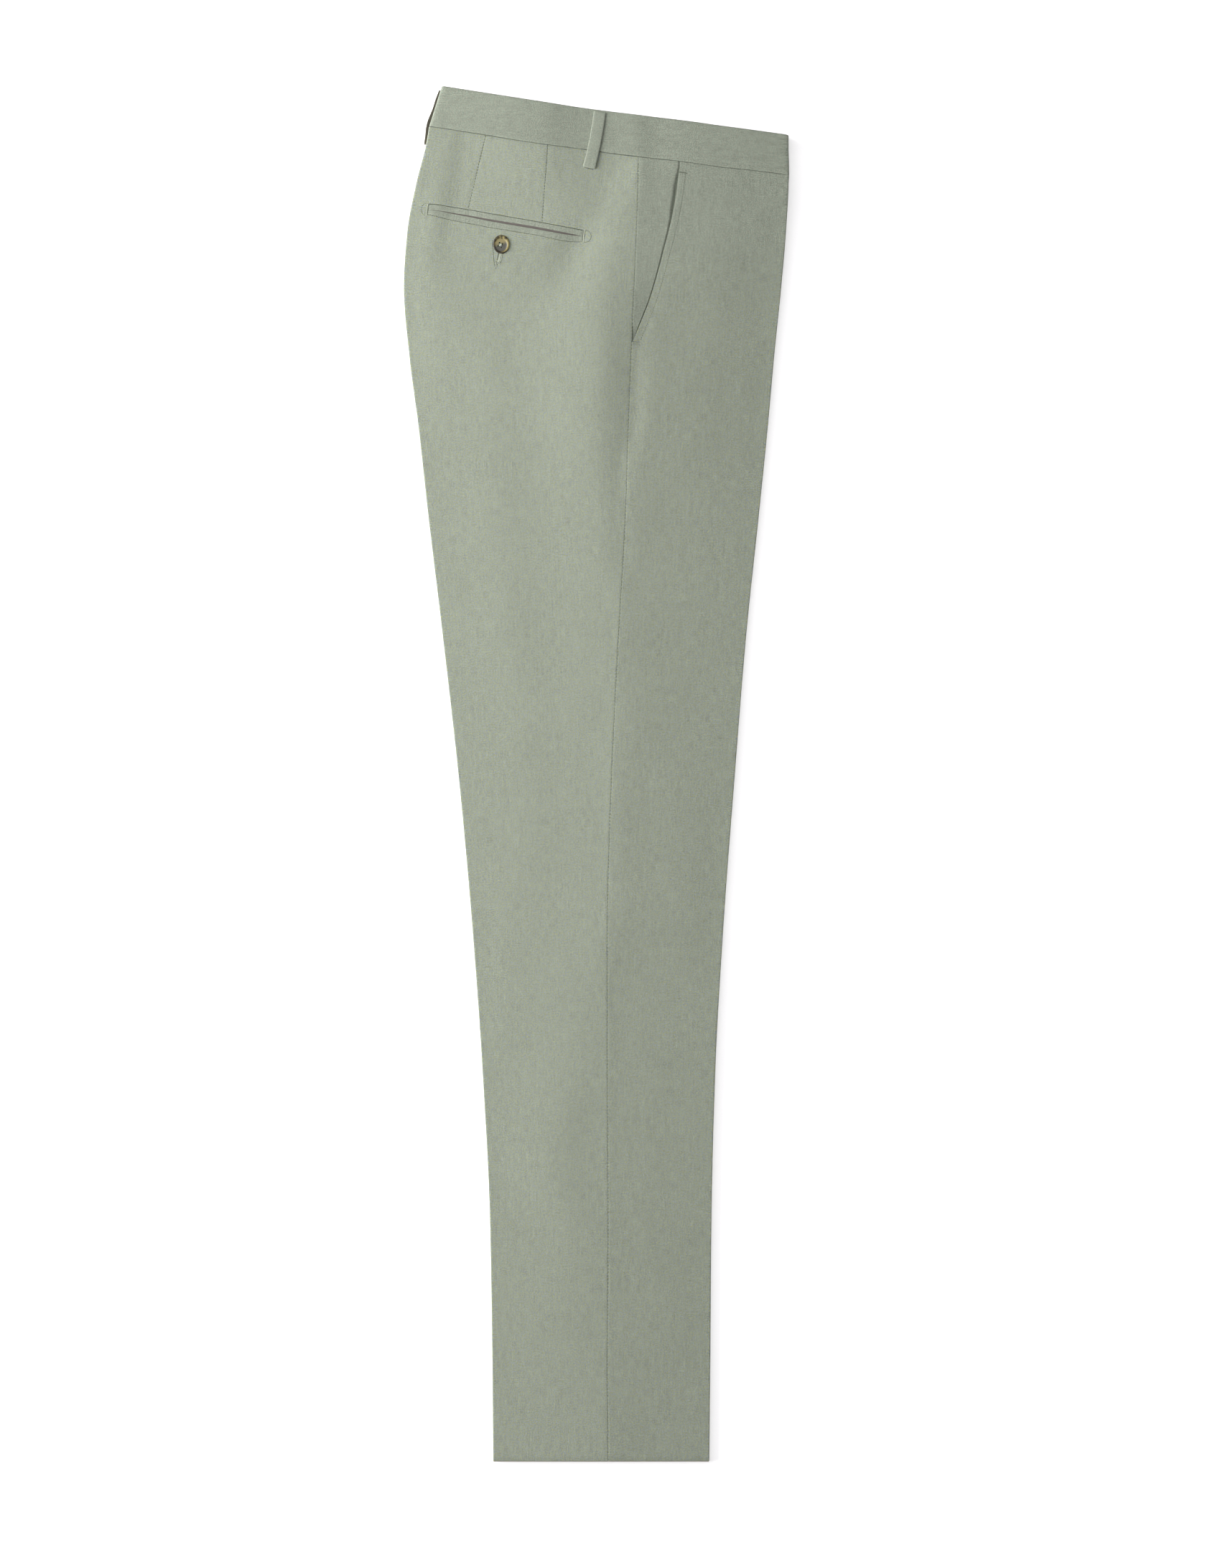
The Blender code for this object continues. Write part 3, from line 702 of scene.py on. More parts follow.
def round_fold(turn, middle, radius, count):
    """Stations round the crease: their angle, place, level and the way they face."""
    angle = np.pi * np.arange(1, 2 * count + 1) / (2 * count)
    far, rise = np.sin(angle).clip(0), np.cos(angle)
    across = turn + radius * far ** PRESSED
    level = middle + radius * np.sign(rise) * np.abs(rise) ** PRESSED
    out = far ** (2 - PRESSED)
    up = np.sign(rise) * np.abs(rise) ** (2 - PRESSED)
    steep = np.hypot(out, up)
    return angle, across, level, out / steep, up / steep


def free_end(last, inner, reach, curls, count):
    """Stations of the free end, which curls towards the other half or runs on level."""
    bend = np.pi / 2 * np.arange(1, count + 1) / count
    far = reach * bend / (np.pi / 2)
    across = last - np.where(curls, reach * 2 / np.pi * np.sin(bend), far)
    level = inner - np.where(curls, reach * 2 / np.pi * (1 - np.cos(bend)), 0.0)
    return far, across, level, np.where(curls, np.sin(bend), 0.0), np.where(curls, -np.cos(bend), -1.0)


def hairpin(part, half, knots, counts, edge, seam_end, stack, wall, curls):
    """Out along the knots to the crease, round it and back in to a seam."""
    along, up = AWAY[part], UP[half]
    outer, inner = up * stack[half + "_outer"], up * stack[half + "_inner"]
    centre = up * (stack["left_inner"] + stack["right_inner"]) / 2
    middle, radius = (outer + inner) / 2, (outer - inner) / 2
    turn = along * edge - radius - wall / 2
    outer_counts, fold_count, inner_count, curl_count = counts
    level_across = spread([along * knot for knot in knots] + [turn], outer_counts)

    outer, inner, centre, middle, radius, turn, edge, seam_end, curls = (
        values[:, None] for values in
        (outer, inner, centre, middle, radius, turn, along * edge, along * seam_end, curls))
    angle, *fold = round_fold(turn, middle, radius, fold_count)
    reach = (inner - centre - SEAM_GAP / 2) * np.pi / 2
    last = seam_end + reach * np.where(curls, 2 / np.pi, 1.0) + wall / 2 * curls
    inner_across = mix(turn, last, np.arange(1, inner_count + 1) / inner_count)
    far, *end = free_end(last, inner, reach, curls, curl_count)
    quarter = radius * np.pi / 2
    stretches = (               # across, level, out, up, how far in from the edge, and around
        (level_across, outer, 0.0, 1.0, np.nan, level_across - turn - quarter),
        (*fold, edge - fold[0], radius * (angle - np.pi / 2)),
        (inner_across, inner, 0.0, -1.0, edge - inner_across, quarter + turn - inner_across),
        (*end, edge - end[0], quarter + turn - last + far),
    )
    across, level, out, rise, inwards, around = (
        np.concatenate([np.broadcast_to(values, stretch[0].shape)
                        for values, stretch in zip(column, stretches)], axis=1)
        for column in zip(*stretches))
    return Section(along * across, up * level, along * out, up * rise, inwards, along * around)


# %% [markdown]
# ## The four leg panels
#
# Two fronts and two backs. The back carries two darts and the opening of the welt pocket, so
# its columns are made to run along them: then a dart is a real line in the mesh and the
# opening has clean edges. Close to a seam the columns crowd together, so that the cloth can
# roll down into it.

# %% Lines that the back's columns follow, as parts of the way from side seam to crease
BACK_LINES = Table(
    "height  pocket_front  dart_front  dart_back  pocket_back",
    (0,      0.2378,       0.4226,     0.7511,    0.9245),
    (1036,   0.2378,       0.4226,     0.7511,    0.9245),
    (1067,   0.2378,       0.4286,     0.7419,    0.9245),
    (1097,   0.2378,       0.4338,     0.7312,    0.9245),
)
SLIT = Table(                   # its rise over a straight line, each welt's height, half its gap
    "across   lift  above  below  open",
    (-148.1,  0.0,  4.6,   3.9,   0.04),
    (-138.0,  0.6,  4.8,   5.0,   0.18),
    (-117.0,  0.6,  5.0,   5.9,   0.54),
    (-94.0,   0.1,  5.3,   5.8,   0.82),
    (-61.0,   0.1,  5.1,   5.7,   1.0),
    (-36.0,   -0.3, 5.1,   6.1,   0.76),
    (-20.7,   0.0,  4.7,   4.8,   0.04),
)
POCKET_LEFT, POCKET_RIGHT = (-148.1, 1028.8), (-20.7, 1007.2)
POCKET_ROW = 1018.1
OPENING_ROWS = 5.0
POCKET_SLOPE = math.atan2(POCKET_RIGHT[1] - POCKET_LEFT[1], POCKET_RIGHT[0] - POCKET_LEFT[0])
GRAIN_LEAN = 0.5               # the warp leans only half as much as the crease


def slit_height(across):
    """The slit of the back pocket, and the line that carries on beyond its ends."""
    part = (across - POCKET_LEFT[0]) / (POCKET_RIGHT[0] - POCKET_LEFT[0])
    return mix(POCKET_LEFT[1], POCKET_RIGHT[1], part) + SLIT.at("lift", across)


def opening_fit(row, across):
    """Rows near the opening bend to its edges, which bulge in the middle."""
    beyond = np.abs(row - POCKET_ROW)
    reach = np.minimum(beyond / OPENING_ROWS, 1) * (1 - smooth((beyond - OPENING_ROWS) / 20))
    edge = np.where(row > POCKET_ROW, SLIT.at("above", across), -SLIT.at("below", across))
    return (edge - OPENING_ROWS * np.sign(row - POCKET_ROW)) * reach


def height_at(part, row, across):
    """Height of a place on an outer layer. The back's rows also run along its pocket."""
    at_waist = WAIST.at("seam", across) - SIDE_TOP
    if part == "front":
        return row + at_waist * leaning(row)
    at_pocket = slit_height(across) - POCKET_ROW
    below = smooth((row - LEAN_FROM) / (POCKET_ROW - LEAN_FROM))
    above = smooth((row - POCKET_ROW) / (SIDE_TOP - POCKET_ROW))
    return row + at_pocket * below + (at_waist - at_pocket) * above + opening_fit(row, across)


# %% A panel's stations
DETAIL = {"right": 1.0, "left": 0.5}    # the hidden half has a coarser mesh
DIP = {"front": 0.12, "back": 0.30}     # fall of the folded-in waist, for each mm across
TOP_ROW = SIDE_TOP - SEAM_GAP / 2
FRONT_ROWS = ((0, 0.5, 1.4, 5, 905, 935, 1067, 1070, 1071, TOP_ROW), (1, 1, 1, 225, 12, 55, 2, 1, 1))
BACK_ROWS = (
    (0, 0.5, 1.4, 5, 905, POCKET_ROW - OPENING_ROWS - 1.5, POCKET_ROW - OPENING_ROWS,
     POCKET_ROW + OPENING_ROWS, POCKET_ROW + OPENING_ROWS + 1.5, 1067, 1070, 1071, TOP_ROW),
    (1, 1, 1, 225, 44, 2, 4, 2, 20, 2, 1, 1))


FRONT_STEPS = (0, 0.35, 0.9, 2.0, 4.0, 5.3, 6.0, 6.7, 9.0)      # columns beside the slant edge
FRONT_COLUMNS = (1, 1, 1, 1, 1, 1, 1, 1, 46)
BACK_STEPS = (0, 0.35, 0.9, 2.0)                                # columns beside the side seam
BACK_COLUMNS = (1, 1, 1, 16, 2, 14, 1, 1, 24, 1, 1, 12, 2, 7)
BESIDE_DART, BESIDE_POCKET = (0.8, 0.0, -0.8), 1.2


def coarser(counts, detail):
    return [max(1, round(count * detail)) for count in counts]


def back_knots(start, edge, edge_height):
    """Columns by the side seam, at the pocket's two ends and at both darts."""
    line = {name: mix(start, edge, BACK_LINES.at(name, edge_height))
            for name in BACK_LINES.names[1:]}
    knots = [start - step for step in BACK_STEPS]
    knots += [line["pocket_front"] + BESIDE_POCKET, line["pocket_front"]]
    knots += [line[dart] + step for dart in ("dart_front", "dart_back") for step in BESIDE_DART]
    return knots + [line["pocket_back"], line["pocket_back"] - BESIDE_POCKET]


def panel_stations(part, half, detail):
    knots, counts = FRONT_ROWS if part == "front" else BACK_ROWS
    rows = spread(knots, coarser(counts, detail))
    away = AWAY[part]
    edge = np.full(len(rows), BAND_FRONT if part == "front" else BAND_BACK)
    for _ in range(4):
        edge_height = height_at(part, rows, edge)
        edge = CUT.at(part + "_edge", edge_height)
    start = CUT.at("side_seam", rows) + away * SEAM_SHOWS / 2
    if part == "front":
        start = np.where(rows > POCKET_FOOT, slant_edge(rows), start)
        knots = [start + step for step in FRONT_STEPS]
        outer_counts = coarser(FRONT_COLUMNS, detail)
    else:
        knots = back_knots(start, edge, edge_height)
        outer_counts = coarser(BACK_COLUMNS, detail)
    seam_end = rise_seam(part, rows) + away * SEAM_GAP / 2
    stack_rows = row_at(edge, edge_height)
    stack = {name: STACK.at(name, stack_rows) for name in STACK.names[1:]}
    if half == "right":
        stack["right_outer"] = stack["right_outer"] - EDGE_DROP.at(part, stack_rows)
    counts = (outer_counts, *coarser((4, 12, 3), detail))
    section = hairpin(part, half, knots, counts, edge, seam_end, stack, CLOTH,
                      rows > CROTCH)
    return rows, edge, edge_height, outer_counts, section


def rise_seam(part, row):
    """The inseam, and above the crotch the fly seam or the seat seam."""
    inseam = CUT.at("inseam", row)
    turn_across, turn_height = RISE[part]["turn"]
    down = np.clip((turn_height - row) / (turn_height - CROTCH), 0, 1)
    curve = mix(inseam, turn_across, np.sqrt(1 - down * down))
    straight = mix(turn_across, RISE[part]["top"], (row - turn_height) / (SIDE_TOP - turn_height))
    return np.where(row <= CROTCH, inseam, np.where(row < turn_height, curve, straight))


# %% How the cloth sits beside its seams
DART_FOOT = POCKET_ROW + OPENING_ROWS
TOPSTITCH_IN = 5.5             # from the slant pocket's edge to its stitching


def seam_dents(part, half, row, across, start, steps):
    """Rolls and dents along the seams, on a panel's outer layer."""
    from_seam = np.abs(across - start)
    lift = dent(from_seam, *SEAM_ROLL) + dent(TOP_ROW - row, *WAIST_ROLL)
    if part == "front":
        beside_pocket = smooth((row - POCKET_FOOT) / 12)
        return lift + beside_pocket * dent(from_seam - TOPSTITCH_IN, *TOPSTITCH_DENT)
    above = smooth((row - DART_FOOT + 4) / 10)
    for name in ("dart_front", "dart_back"):
        lift = lift + above * dent(steps[name] - across, *DART_DENT)
    if half == "right":
        beside = np.maximum(across - steps["pocket_front"], steps["pocket_back"] - across)
        above = np.abs(row - POCKET_ROW) - OPENING_ROWS
        outside = np.hypot(np.maximum(beside, 0), np.maximum(above, 0))
        lift = lift + dent(outside, *SEAM_ROLL)
    return lift


# %% The panels themselves
FLATTENED = 0.2                # how much of the swells is left in the half that it lies on
HEM_THIN, HEM_FOLD = 0.45, 1.4          # its edge has this part of the wall, and all from here up


def outer_layer(half, across, height, dents):
    """Level of the layer that faces out, with its swells, rolls and dents."""
    level = STACK.at(half + "_outer", row_at(across, height))
    if half == "right":
        return level - edge_fall(across, height) + swell(across, height) + dents
    return level - dents.clip(max=0) + FLATTENED * swell(across, height).clip(min=0)


def pocket_opening(outer_counts, detail):
    """The first and last column and row of the patches that the welts take the place of."""
    row_counts = coarser(BACK_ROWS[1], detail)
    first_column, first_row = sum(outer_counts[:5]), sum(row_counts[:6])
    return first_column, first_column + sum(outer_counts[5:12]), first_row, first_row + row_counts[6]


def leg_panel(part, half):
    detail = DETAIL[half]
    rows, edge, edge_height, outer_counts, section = panel_stations(part, half, detail)
    row, level_columns = rows[:, None], sum(outer_counts) + 1
    inwards = np.nan_to_num(section.inwards)
    height = edge_height[:, None] - DIP[part] * inwards * leaning(row)
    across = section.across[:, :level_columns]
    height[:, :level_columns] = height_at(part, row, across)
    outer_height = height[:, :level_columns]
    steps = {name: mix(across[:, :1], edge[:, None], BACK_LINES.at(name, edge_height)[:, None])
             for name in BACK_LINES.names[1:]}
    dents = seam_dents(part, half, row, across, across[:, :1], steps)
    level = section.level.copy()
    level[:, :level_columns] = outer_layer(half, across, outer_height, dents)
    rolled = CLOTH / 2 * mix(HEM_THIN, 1.0, smooth(row / HEM_FOLD))
    grain = section.around + (1 - GRAIN_LEAN) * (edge - edge[0])[:, None]

    def place(column, row_number, face):
        at = row_number, column
        side = face * rolled[row_number, 0]
        return (section.across[at] + side * section.out[at], height[at],
                level[at] + side * section.up[at], grain[at], height[at])

    has_pocket = part == "back" and half == "right"
    opening = pocket_opening(outer_counts, detail) if has_pocket else None
    columns = section.across.shape[1] - 1
    piece = make_cloth(f"{part}_{half}_cloth", columns, len(rows) - 1, place, opening)
    piece.data.materials.append(FINISHES[part])
    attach(piece, "root")
    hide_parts(f"{part}_{half}", f"{part}_{half}_folded_in")
    print(piece.name, len(piece.data.polygons), "faces")
    return piece


panels = {(part, half): leg_panel(part, half) for part in AWAY for half in HALVES}

# %% [markdown]
# ## Pocket facings
#
# The slant pocket's edge is the folded edge of the front. Between it and the side seam shows
# the facing, which is sewn to the back and runs on under the front. A pocket that has been
# pressed still gapes a little in the middle of its length, so the facing sinks most there.

# %% The facings
SINK = Table(                   # how deep it lies at the pocket's edge, and over what width
    "height  depth  reach",
    (920,    1.05,  1.1),
    (960,    1.05,  1.1),
    (990,    1.15,  1.2),
    (1010,   1.2,   1.4),
    (1022,   1.5,   2.2),
    (1033,   1.9,   3.4),
    (1050,   1.9,   3.7),
    (1060,   1.3,   1.4),
    (1066,   1.05,  0.9),
)
FACING_WALL = 0.8
FACING_UNDER = 22.0            # how far it runs on under the front
FACING_LIFT = 0.1
NARROW = 8.0                   # where it shows less than this, its seam side sinks as well


def pocket_facing(half):
    detail = DETAIL[half]
    rows = spread((POCKET_FOOT, 1067, 1070, 1071, TOP_ROW), coarser((60, 2, 1, 1), detail))
    seam = CUT.at("side_seam", rows) + SEAM_SHOWS / 2
    slant = slant_edge(rows)
    edge = np.maximum(slant, seam + 1.0)
    knots = [seam, seam + 0.3, seam + 0.6, mix(seam + 0.6, edge, 0.6), edge, slant + FACING_UNDER]
    across = spread(knots, coarser((1, 1, 10, 14, 6), detail))
    row = rows[:, None]
    height = row + lean(WAIST.at("seam", across), row)
    shows = (slant - seam)[:, None]
    depth, reach = SINK.at("depth", height), SINK.at("reach", height)
    narrow = 1 - smooth(shows / NARROW)
    sink = depth * np.maximum(1 - smooth((slant[:, None] - across) / reach), narrow)
    roll = dent(across - seam[:, None], *SEAM_ROLL) * (1 - narrow) + dent(TOP_ROW - row, *WAIST_ROLL)
    side = UP[half]
    base = STACK.at(half + "_outer", row_at(across, height))
    lift = swell(across, height) if half == "right" else 0.0
    level = base + lift - side * (sink - roll) + side * FACING_LIFT

    def place(column, row_number, face):
        at = row_number, column
        return (across[at], height[at], level[at] + face * FACING_WALL / 2, across[at], height[at])

    piece = make_cloth(f"pocket_facing_{half}_cloth", across.shape[1] - 1, len(rows) - 1, place)
    piece.data.materials.append(FINISHES["facing"])
    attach(piece, "root")
    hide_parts(f"pocket_facing_{half}")
    print(piece.name, "shows", round(float(shows.max()), 1), "mm at its widest")
    return piece


facings = {half: pocket_facing(half) for half in HALVES}

# %% [markdown]
# ## The waistband
#
# The band is linen folded over a firm interlining, so it is thicker than the cloth below,
# keeps a clean top edge, and shows only broad, shallow waves. It uses the folded section twice,
# once towards the back and once towards the front, and the two are joined in the middle.

# %% The two halves of the waistband
BAND_ROWS = spread((0, 0.012, 0.035, 0.09, 0.93, 0.972, 0.99, 1), (1, 1, 1, 12, 1, 1, 1))
BAND_ROLL = 1.0                # radius of the band's top edge


def band_section(part, half):
    top = BAND_ROWS
    shift = (BAND_TOP_BACK - BAND_BACK) * top if part == "back" else 0.0 * top
    edge = (BAND_BACK if part == "back" else BAND_FRONT) + shift
    seam_end = RISE[part]["top"] + shift
    stack = {name: np.full(len(top), value) for name, value in BAND_STACK.items()}
    detail = DETAIL[half]
    counts = (coarser((48,), detail), *coarser((4, 8, 4), detail))
    section = hairpin(part, half, [0.0 * top], counts, edge, seam_end, stack, BAND_WALL,
                      np.ones(len(top), dtype=bool))
    section.around = section.around + section.across[:, :1] - section.around[:, :1]
    level_part = np.isnan(section.inwards)
    inwards = np.nan_to_num(section.inwards)
    seam = np.where(level_part, WAIST.at("seam", section.across),
                    WAIST.at("seam", edge)[:, None] - DIP[part] * inwards)
    upper = np.where(level_part, WAIST.at("top", section.across),
                     WAIST.at("top", edge)[:, None] - DIP[part] * inwards)
    height = mix(seam + SEAM_GAP / 2, upper, top[:, None])
    if half == "right":
        section.level = section.level + np.where(level_part, band_wave(section.across), 0.0)
    return section, height


def waistband(half):
    back, back_height = band_section("back", half)
    front, front_height = band_section("front", half)
    section = back.turned_round().joined(front)
    height = np.concatenate([back_height[:, ::-1], front_height[:, 1:]], axis=1)
    low, high = height[:1], height[-1:]
    from_end = np.minimum(high - height, height - low)
    rolled = np.sqrt(1 - (1 - np.clip(from_end / BAND_ROLL, 0.06, 1)) ** 2)

    def place(column, row, face):
        at = row, column
        side = face * BAND_WALL / 2 * rolled[at]
        return (section.across[at] + side * section.out[at], height[at],
                section.level[at] + side * section.up[at],
                height[at], section.around[at])

    piece = make_cloth(f"waistband_{half}_cloth", height.shape[1] - 1, len(BAND_ROWS) - 1, place)
    piece.data.materials.append(FINISHES["band"])
    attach(piece, "root")
    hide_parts(f"waistband_{half}")
    print(piece.name, len(piece.data.polygons), "faces")
    return piece


bands = {half: waistband(half) for half in HALVES}

# %% [markdown]
# ## Belt loops
#
# A belt loop is a narrow strip of cloth folded to a flat tube. The one over the side stands
# free of the band in the middle, so it bows up and throws a thin shadow. Its lower end is
# turned under, and the turned part peeps out beside it. The loops at the back and the front
# are seen almost edge on, past the creases. The back one leans out and shows its inside, whose
# colour is painted dark as the shade it lies in.

# %% Strips
LOOP_WALL = 0.7
LOOP_WIDTH = 10.0


def make_strip(name, columns, rows, middle, out, wall, finish="trim"):
    """A strip with rolled long edges. middle and out give places and directions in arrays."""
    def place(column, row, face):
        part = column / columns
        from_edge = np.minimum(part, 1 - part) * columns
        rolled = np.where(from_edge < 0.5, 0.35, np.where(from_edge < 1.5, 0.85, 1.0))
        *spot, grain_across, grain_along = middle(part, row / rows)
        side = face * wall / 2 * rolled
        spot = [place + side * away for place, away in zip(spot, out(part, row / rows))]
        return *spot, grain_across, grain_along

    piece = make_cloth(name, columns, rows, place)
    piece.data.materials.append(FINISHES[finish])
    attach(piece, "root")
    print(piece.name, len(piece.data.polygons), "faces")
    return piece


def edge_spaced(part):
    """Spaces columns close together at both edges of a strip."""
    return 0.5 - 0.5 * np.cos(np.pi * part)


print("belt loops are", LOOP_WIDTH, "mm wide and", LOOP_WALL, "mm thick")

# %% The loop over the side
LOOP_TURN = 0.42               # radius of the turn at its foot
TURNED_UNDER = 13.0
UNDER_ASIDE = 1.5              # the turned-under end lies this much to the back at its tip
SIDE_LOOP = ((-6.9, 1107.8), (-15.5, 1062.9))
SIDE_LOOP_BOW, SIDE_LOOP_CROWN = 0.35, 0.2      # it rises along its length and across its width
SIDE_LOOP_BEND = 0.7
SIDE_LOOP_SEAT = 14.55         # level of its middle, just clear of the band


def side_loop(half):
    """From its hidden end, which is turned under, round its foot and up to the band's top."""
    top, foot = np.array(SIDE_LOOP[0]), np.array(SIDE_LOOP[1])
    length = np.linalg.norm(top - foot)
    run = (top - foot) / length
    square = np.array([run[1], -run[0]])
    turn = LOOP_TURN * np.pi
    total = TURNED_UNDER + turn + length

    def path(along):
        far = along * total
        angle = np.clip((far - TURNED_UNDER) / LOOP_TURN, 0, np.pi)
        past = np.clip(far - TURNED_UNDER - turn, 0, None)
        up_by = np.clip(TURNED_UNDER - far, 0, None) + past - LOOP_TURN * np.sin(angle)
        return far, angle, past / length, up_by + LOOP_TURN

    def middle(part, along):
        far, angle, shown, up_by = path(along)
        under = (1 + np.cos(angle)) / 2
        side = (edge_spaced(part) - 0.5) * LOOP_WIDTH
        aside = side - UNDER_ASIDE * under * (0.2 + 0.8 * up_by / TURNED_UNDER)
        across = foot[0] + run[0] * up_by + square[0] * aside
        height = foot[1] + run[1] * up_by + square[1] * aside
        if half == "left":
            return across, height, LOOP_WALL / 2 + 2 * LOOP_TURN * under, side, far
        bow = SIDE_LOOP_BOW * np.sin(np.pi * shown) ** 0.7
        across = across + SIDE_LOOP_BEND * np.sin(np.pi * shown)
        crown = SIDE_LOOP_CROWN * (1 - (2 * part - 1) ** 2)
        return across, height, SIDE_LOOP_SEAT - 2 * LOOP_TURN * under + bow + crown, side, far

    def out(part, along):
        angle = path(along)[1]
        tip = np.sin(angle)
        return -tip * run[0], -tip * run[1], -UP[half] * np.cos(angle)

    piece = make_strip(f"belt_loop_side_{half}_cloth", 10, 44, middle, out, LOOP_WALL)
    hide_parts(f"belt_loop_side_{half}")
    return piece


# %% The loop at the back
BACK_LOOP = Table(              # its outer edge, seen past the crease
    "height   across",
    (1083.0,  -151.5),
    (1089.5,  -150.6),
    (1095.5,  -150.0),
    (1101.4,  -148.7),
    (1107.4,  -146.3),
    (1113.3,  -144.0),
    (1119.3,  -142.2),
    (1127.0,  -139.2),
)
BACK_LOOP_FALL = 2.2           # from its outer edge down to where it goes in under the fold
BACK_LOOP_SLANT = 3.4
BACK_LOOP_TUCK = 6.2
BACK_LOOP_BEND = 1.2           # over what width it turns from level to leaning
BACK_LOOP_ROUND = 0.3          # its wall's middle lies this far in from its outer edge


def back_loop(half):
    """Leans out from between the halves, so that its inner face shows past the fold."""
    up = UP[half]
    tucked = SEAM_GAP / 2 + LOOP_WALL / 2
    slanted = math.hypot(BACK_LOOP_FALL, BACK_LOOP_SLANT)
    total = slanted + BACK_LOOP_TUCK
    steep = math.atan2(BACK_LOOP_FALL, BACK_LOOP_SLANT)

    def middle(part, along):
        far = edge_spaced(part) * total
        shown = np.clip(slanted - far, 0, None)
        inwards = np.clip(far, 0, slanted) * math.cos(steep) + np.clip(far - slanted, 0, None)
        height = mix(BACK_LOOP.values[0, 0], BACK_LOOP.values[-1, 0], along)
        across = BACK_LOOP.at("across", height) + BACK_LOOP_ROUND + inwards
        level = BAND_CENTRE + up * (tucked + shown * math.sin(steep))
        return across, height, level, far, height

    def out(part, along):
        beyond = slanted + BACK_LOOP_BEND / 2 - edge_spaced(part) * total
        angle = steep * smooth(beyond / BACK_LOOP_BEND)
        return np.sin(angle), 0.0 * angle, up * np.cos(angle)

    piece = make_strip(f"belt_loop_back_{half}_cloth", 14, 24, middle, out, LOOP_WALL, "shaded")
    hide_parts(f"belt_loop_back_{half}")
    return piece


# %% The loop at the front, and all six
FRONT_LOOP = Table(
    "height   across",
    (1041.8,  147.7),
    (1059.6,  148.7),
    (1077.8,  148.3),
    (1086.0,  147.2),
)


def front_loop(half):
    """Flat between the two halves, with one edge past the crease."""
    up = UP[half]
    level = BAND_CENTRE + up * (SEAM_GAP / 2 + LOOP_WALL / 2)

    def middle(part, along):
        height = mix(FRONT_LOOP.values[0, 0], FRONT_LOOP.values[-1, 0], along)
        side = (1 - edge_spaced(part)) * LOOP_WIDTH
        return FRONT_LOOP.at("across", height) - side, height, level + 0.0 * part, side, height

    def out(part, along):
        return 0.0 * part, 0.0 * part, up + 0.0 * part

    piece = make_strip(f"belt_loop_front_{half}_cloth", 10, 16, middle, out, LOOP_WALL)
    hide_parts(f"belt_loop_front_{half}")
    return piece


loops = [make(half) for half in HALVES for make in (side_loop, back_loop, front_loop)]
print("belt loops:", len(loops))

# %% [markdown]
# ## The strip behind the fly
#
# It lies between the two halves and shows only from the waist, so it is a plain strip.

# %% The fly strip
FLY_FOOT, FLY_WIDTH, FLY_WALL = 905.0, 35.0, 1.2


def fly_strip():
    def middle(part, along):
        row = mix(FLY_FOOT, SIDE_TOP, along)
        side = FLY_WIDTH * (1 - edge_spaced(part))
        across = rise_seam("front", row) - SEAM_GAP - side
        inwards = CUT.at("front_edge", row) - across
        seam = WAIST.at("seam", BAND_FRONT) - DIP["front"] * inwards
        height = row + lean(seam, row) - SEAM_GAP * along
        level = (STACK.at("left_inner", row) + STACK.at("right_inner", row)) / 2
        return across, height, level, side, height

    def out(part, along):
        return 0.0 * part, 0.0 * part, 1.0 + 0.0 * part

    piece = make_strip("fly_strip_cloth", 8, 40, middle, out, FLY_WALL)
    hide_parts("fly_strip")
    return piece


fly = fly_strip()
print(fly.name, FLY_WIDTH, "mm wide")

# %% [markdown]
# ## The welts of the back pocket
#
# Two narrow folded strips fill the opening and meet at the slit. Each is a small roll: level
# in the middle, and rounded down both to the seam and to the lip of the slit. The slit is
# closed at its two ends and opens a little between them. The lips are painted dark, as the
# shade that they lie in.

# %% Both welts
WELT_WALL = 1.5
WELT_COLUMNS = 90
WELT_SHORT = 0.05              # it ends this much before the cloth's edge
SLIT_FOOT = 0.04               # half the gap between the two lips, down in the slit
PUCKER, END_FALL = 0.12, 0.12
WELT_STOPS = (0, 0.04, 0.1, 0.2, 0.35, 0.5, 0.65, 0.78, 0.88, 0.95, 1.0)   # seam to lip
LIP_STOPS = (0.35, 0.7, 1.0)                                               # into the slit
WELT_PROFILE = Table(           # from the seam to the lip, 1, and into the slit, 2: the fall
    "part   fall",
    (0.0,   0.16),
    (0.05,  0.04),
    (0.15,  0.0),
    (0.8,   0.0),
    (0.95,  0.08),
    (1.0,   0.22),
    (2.0,   0.50),
)
# painted shade: the lips of the slit get a dark colour for the shade they lie in
LIP_PAINTED_SHADE = thread("welt_lip_in_shade", linear(106, 100, 95), 4)


def cloth_top(across, height):
    """Upper face of the outer cloth, seen from above."""
    middle = STACK.at("right_outer", row_at(across, height)) - edge_fall(across, height)
    return middle + swell(across, height) + CLOTH / 2


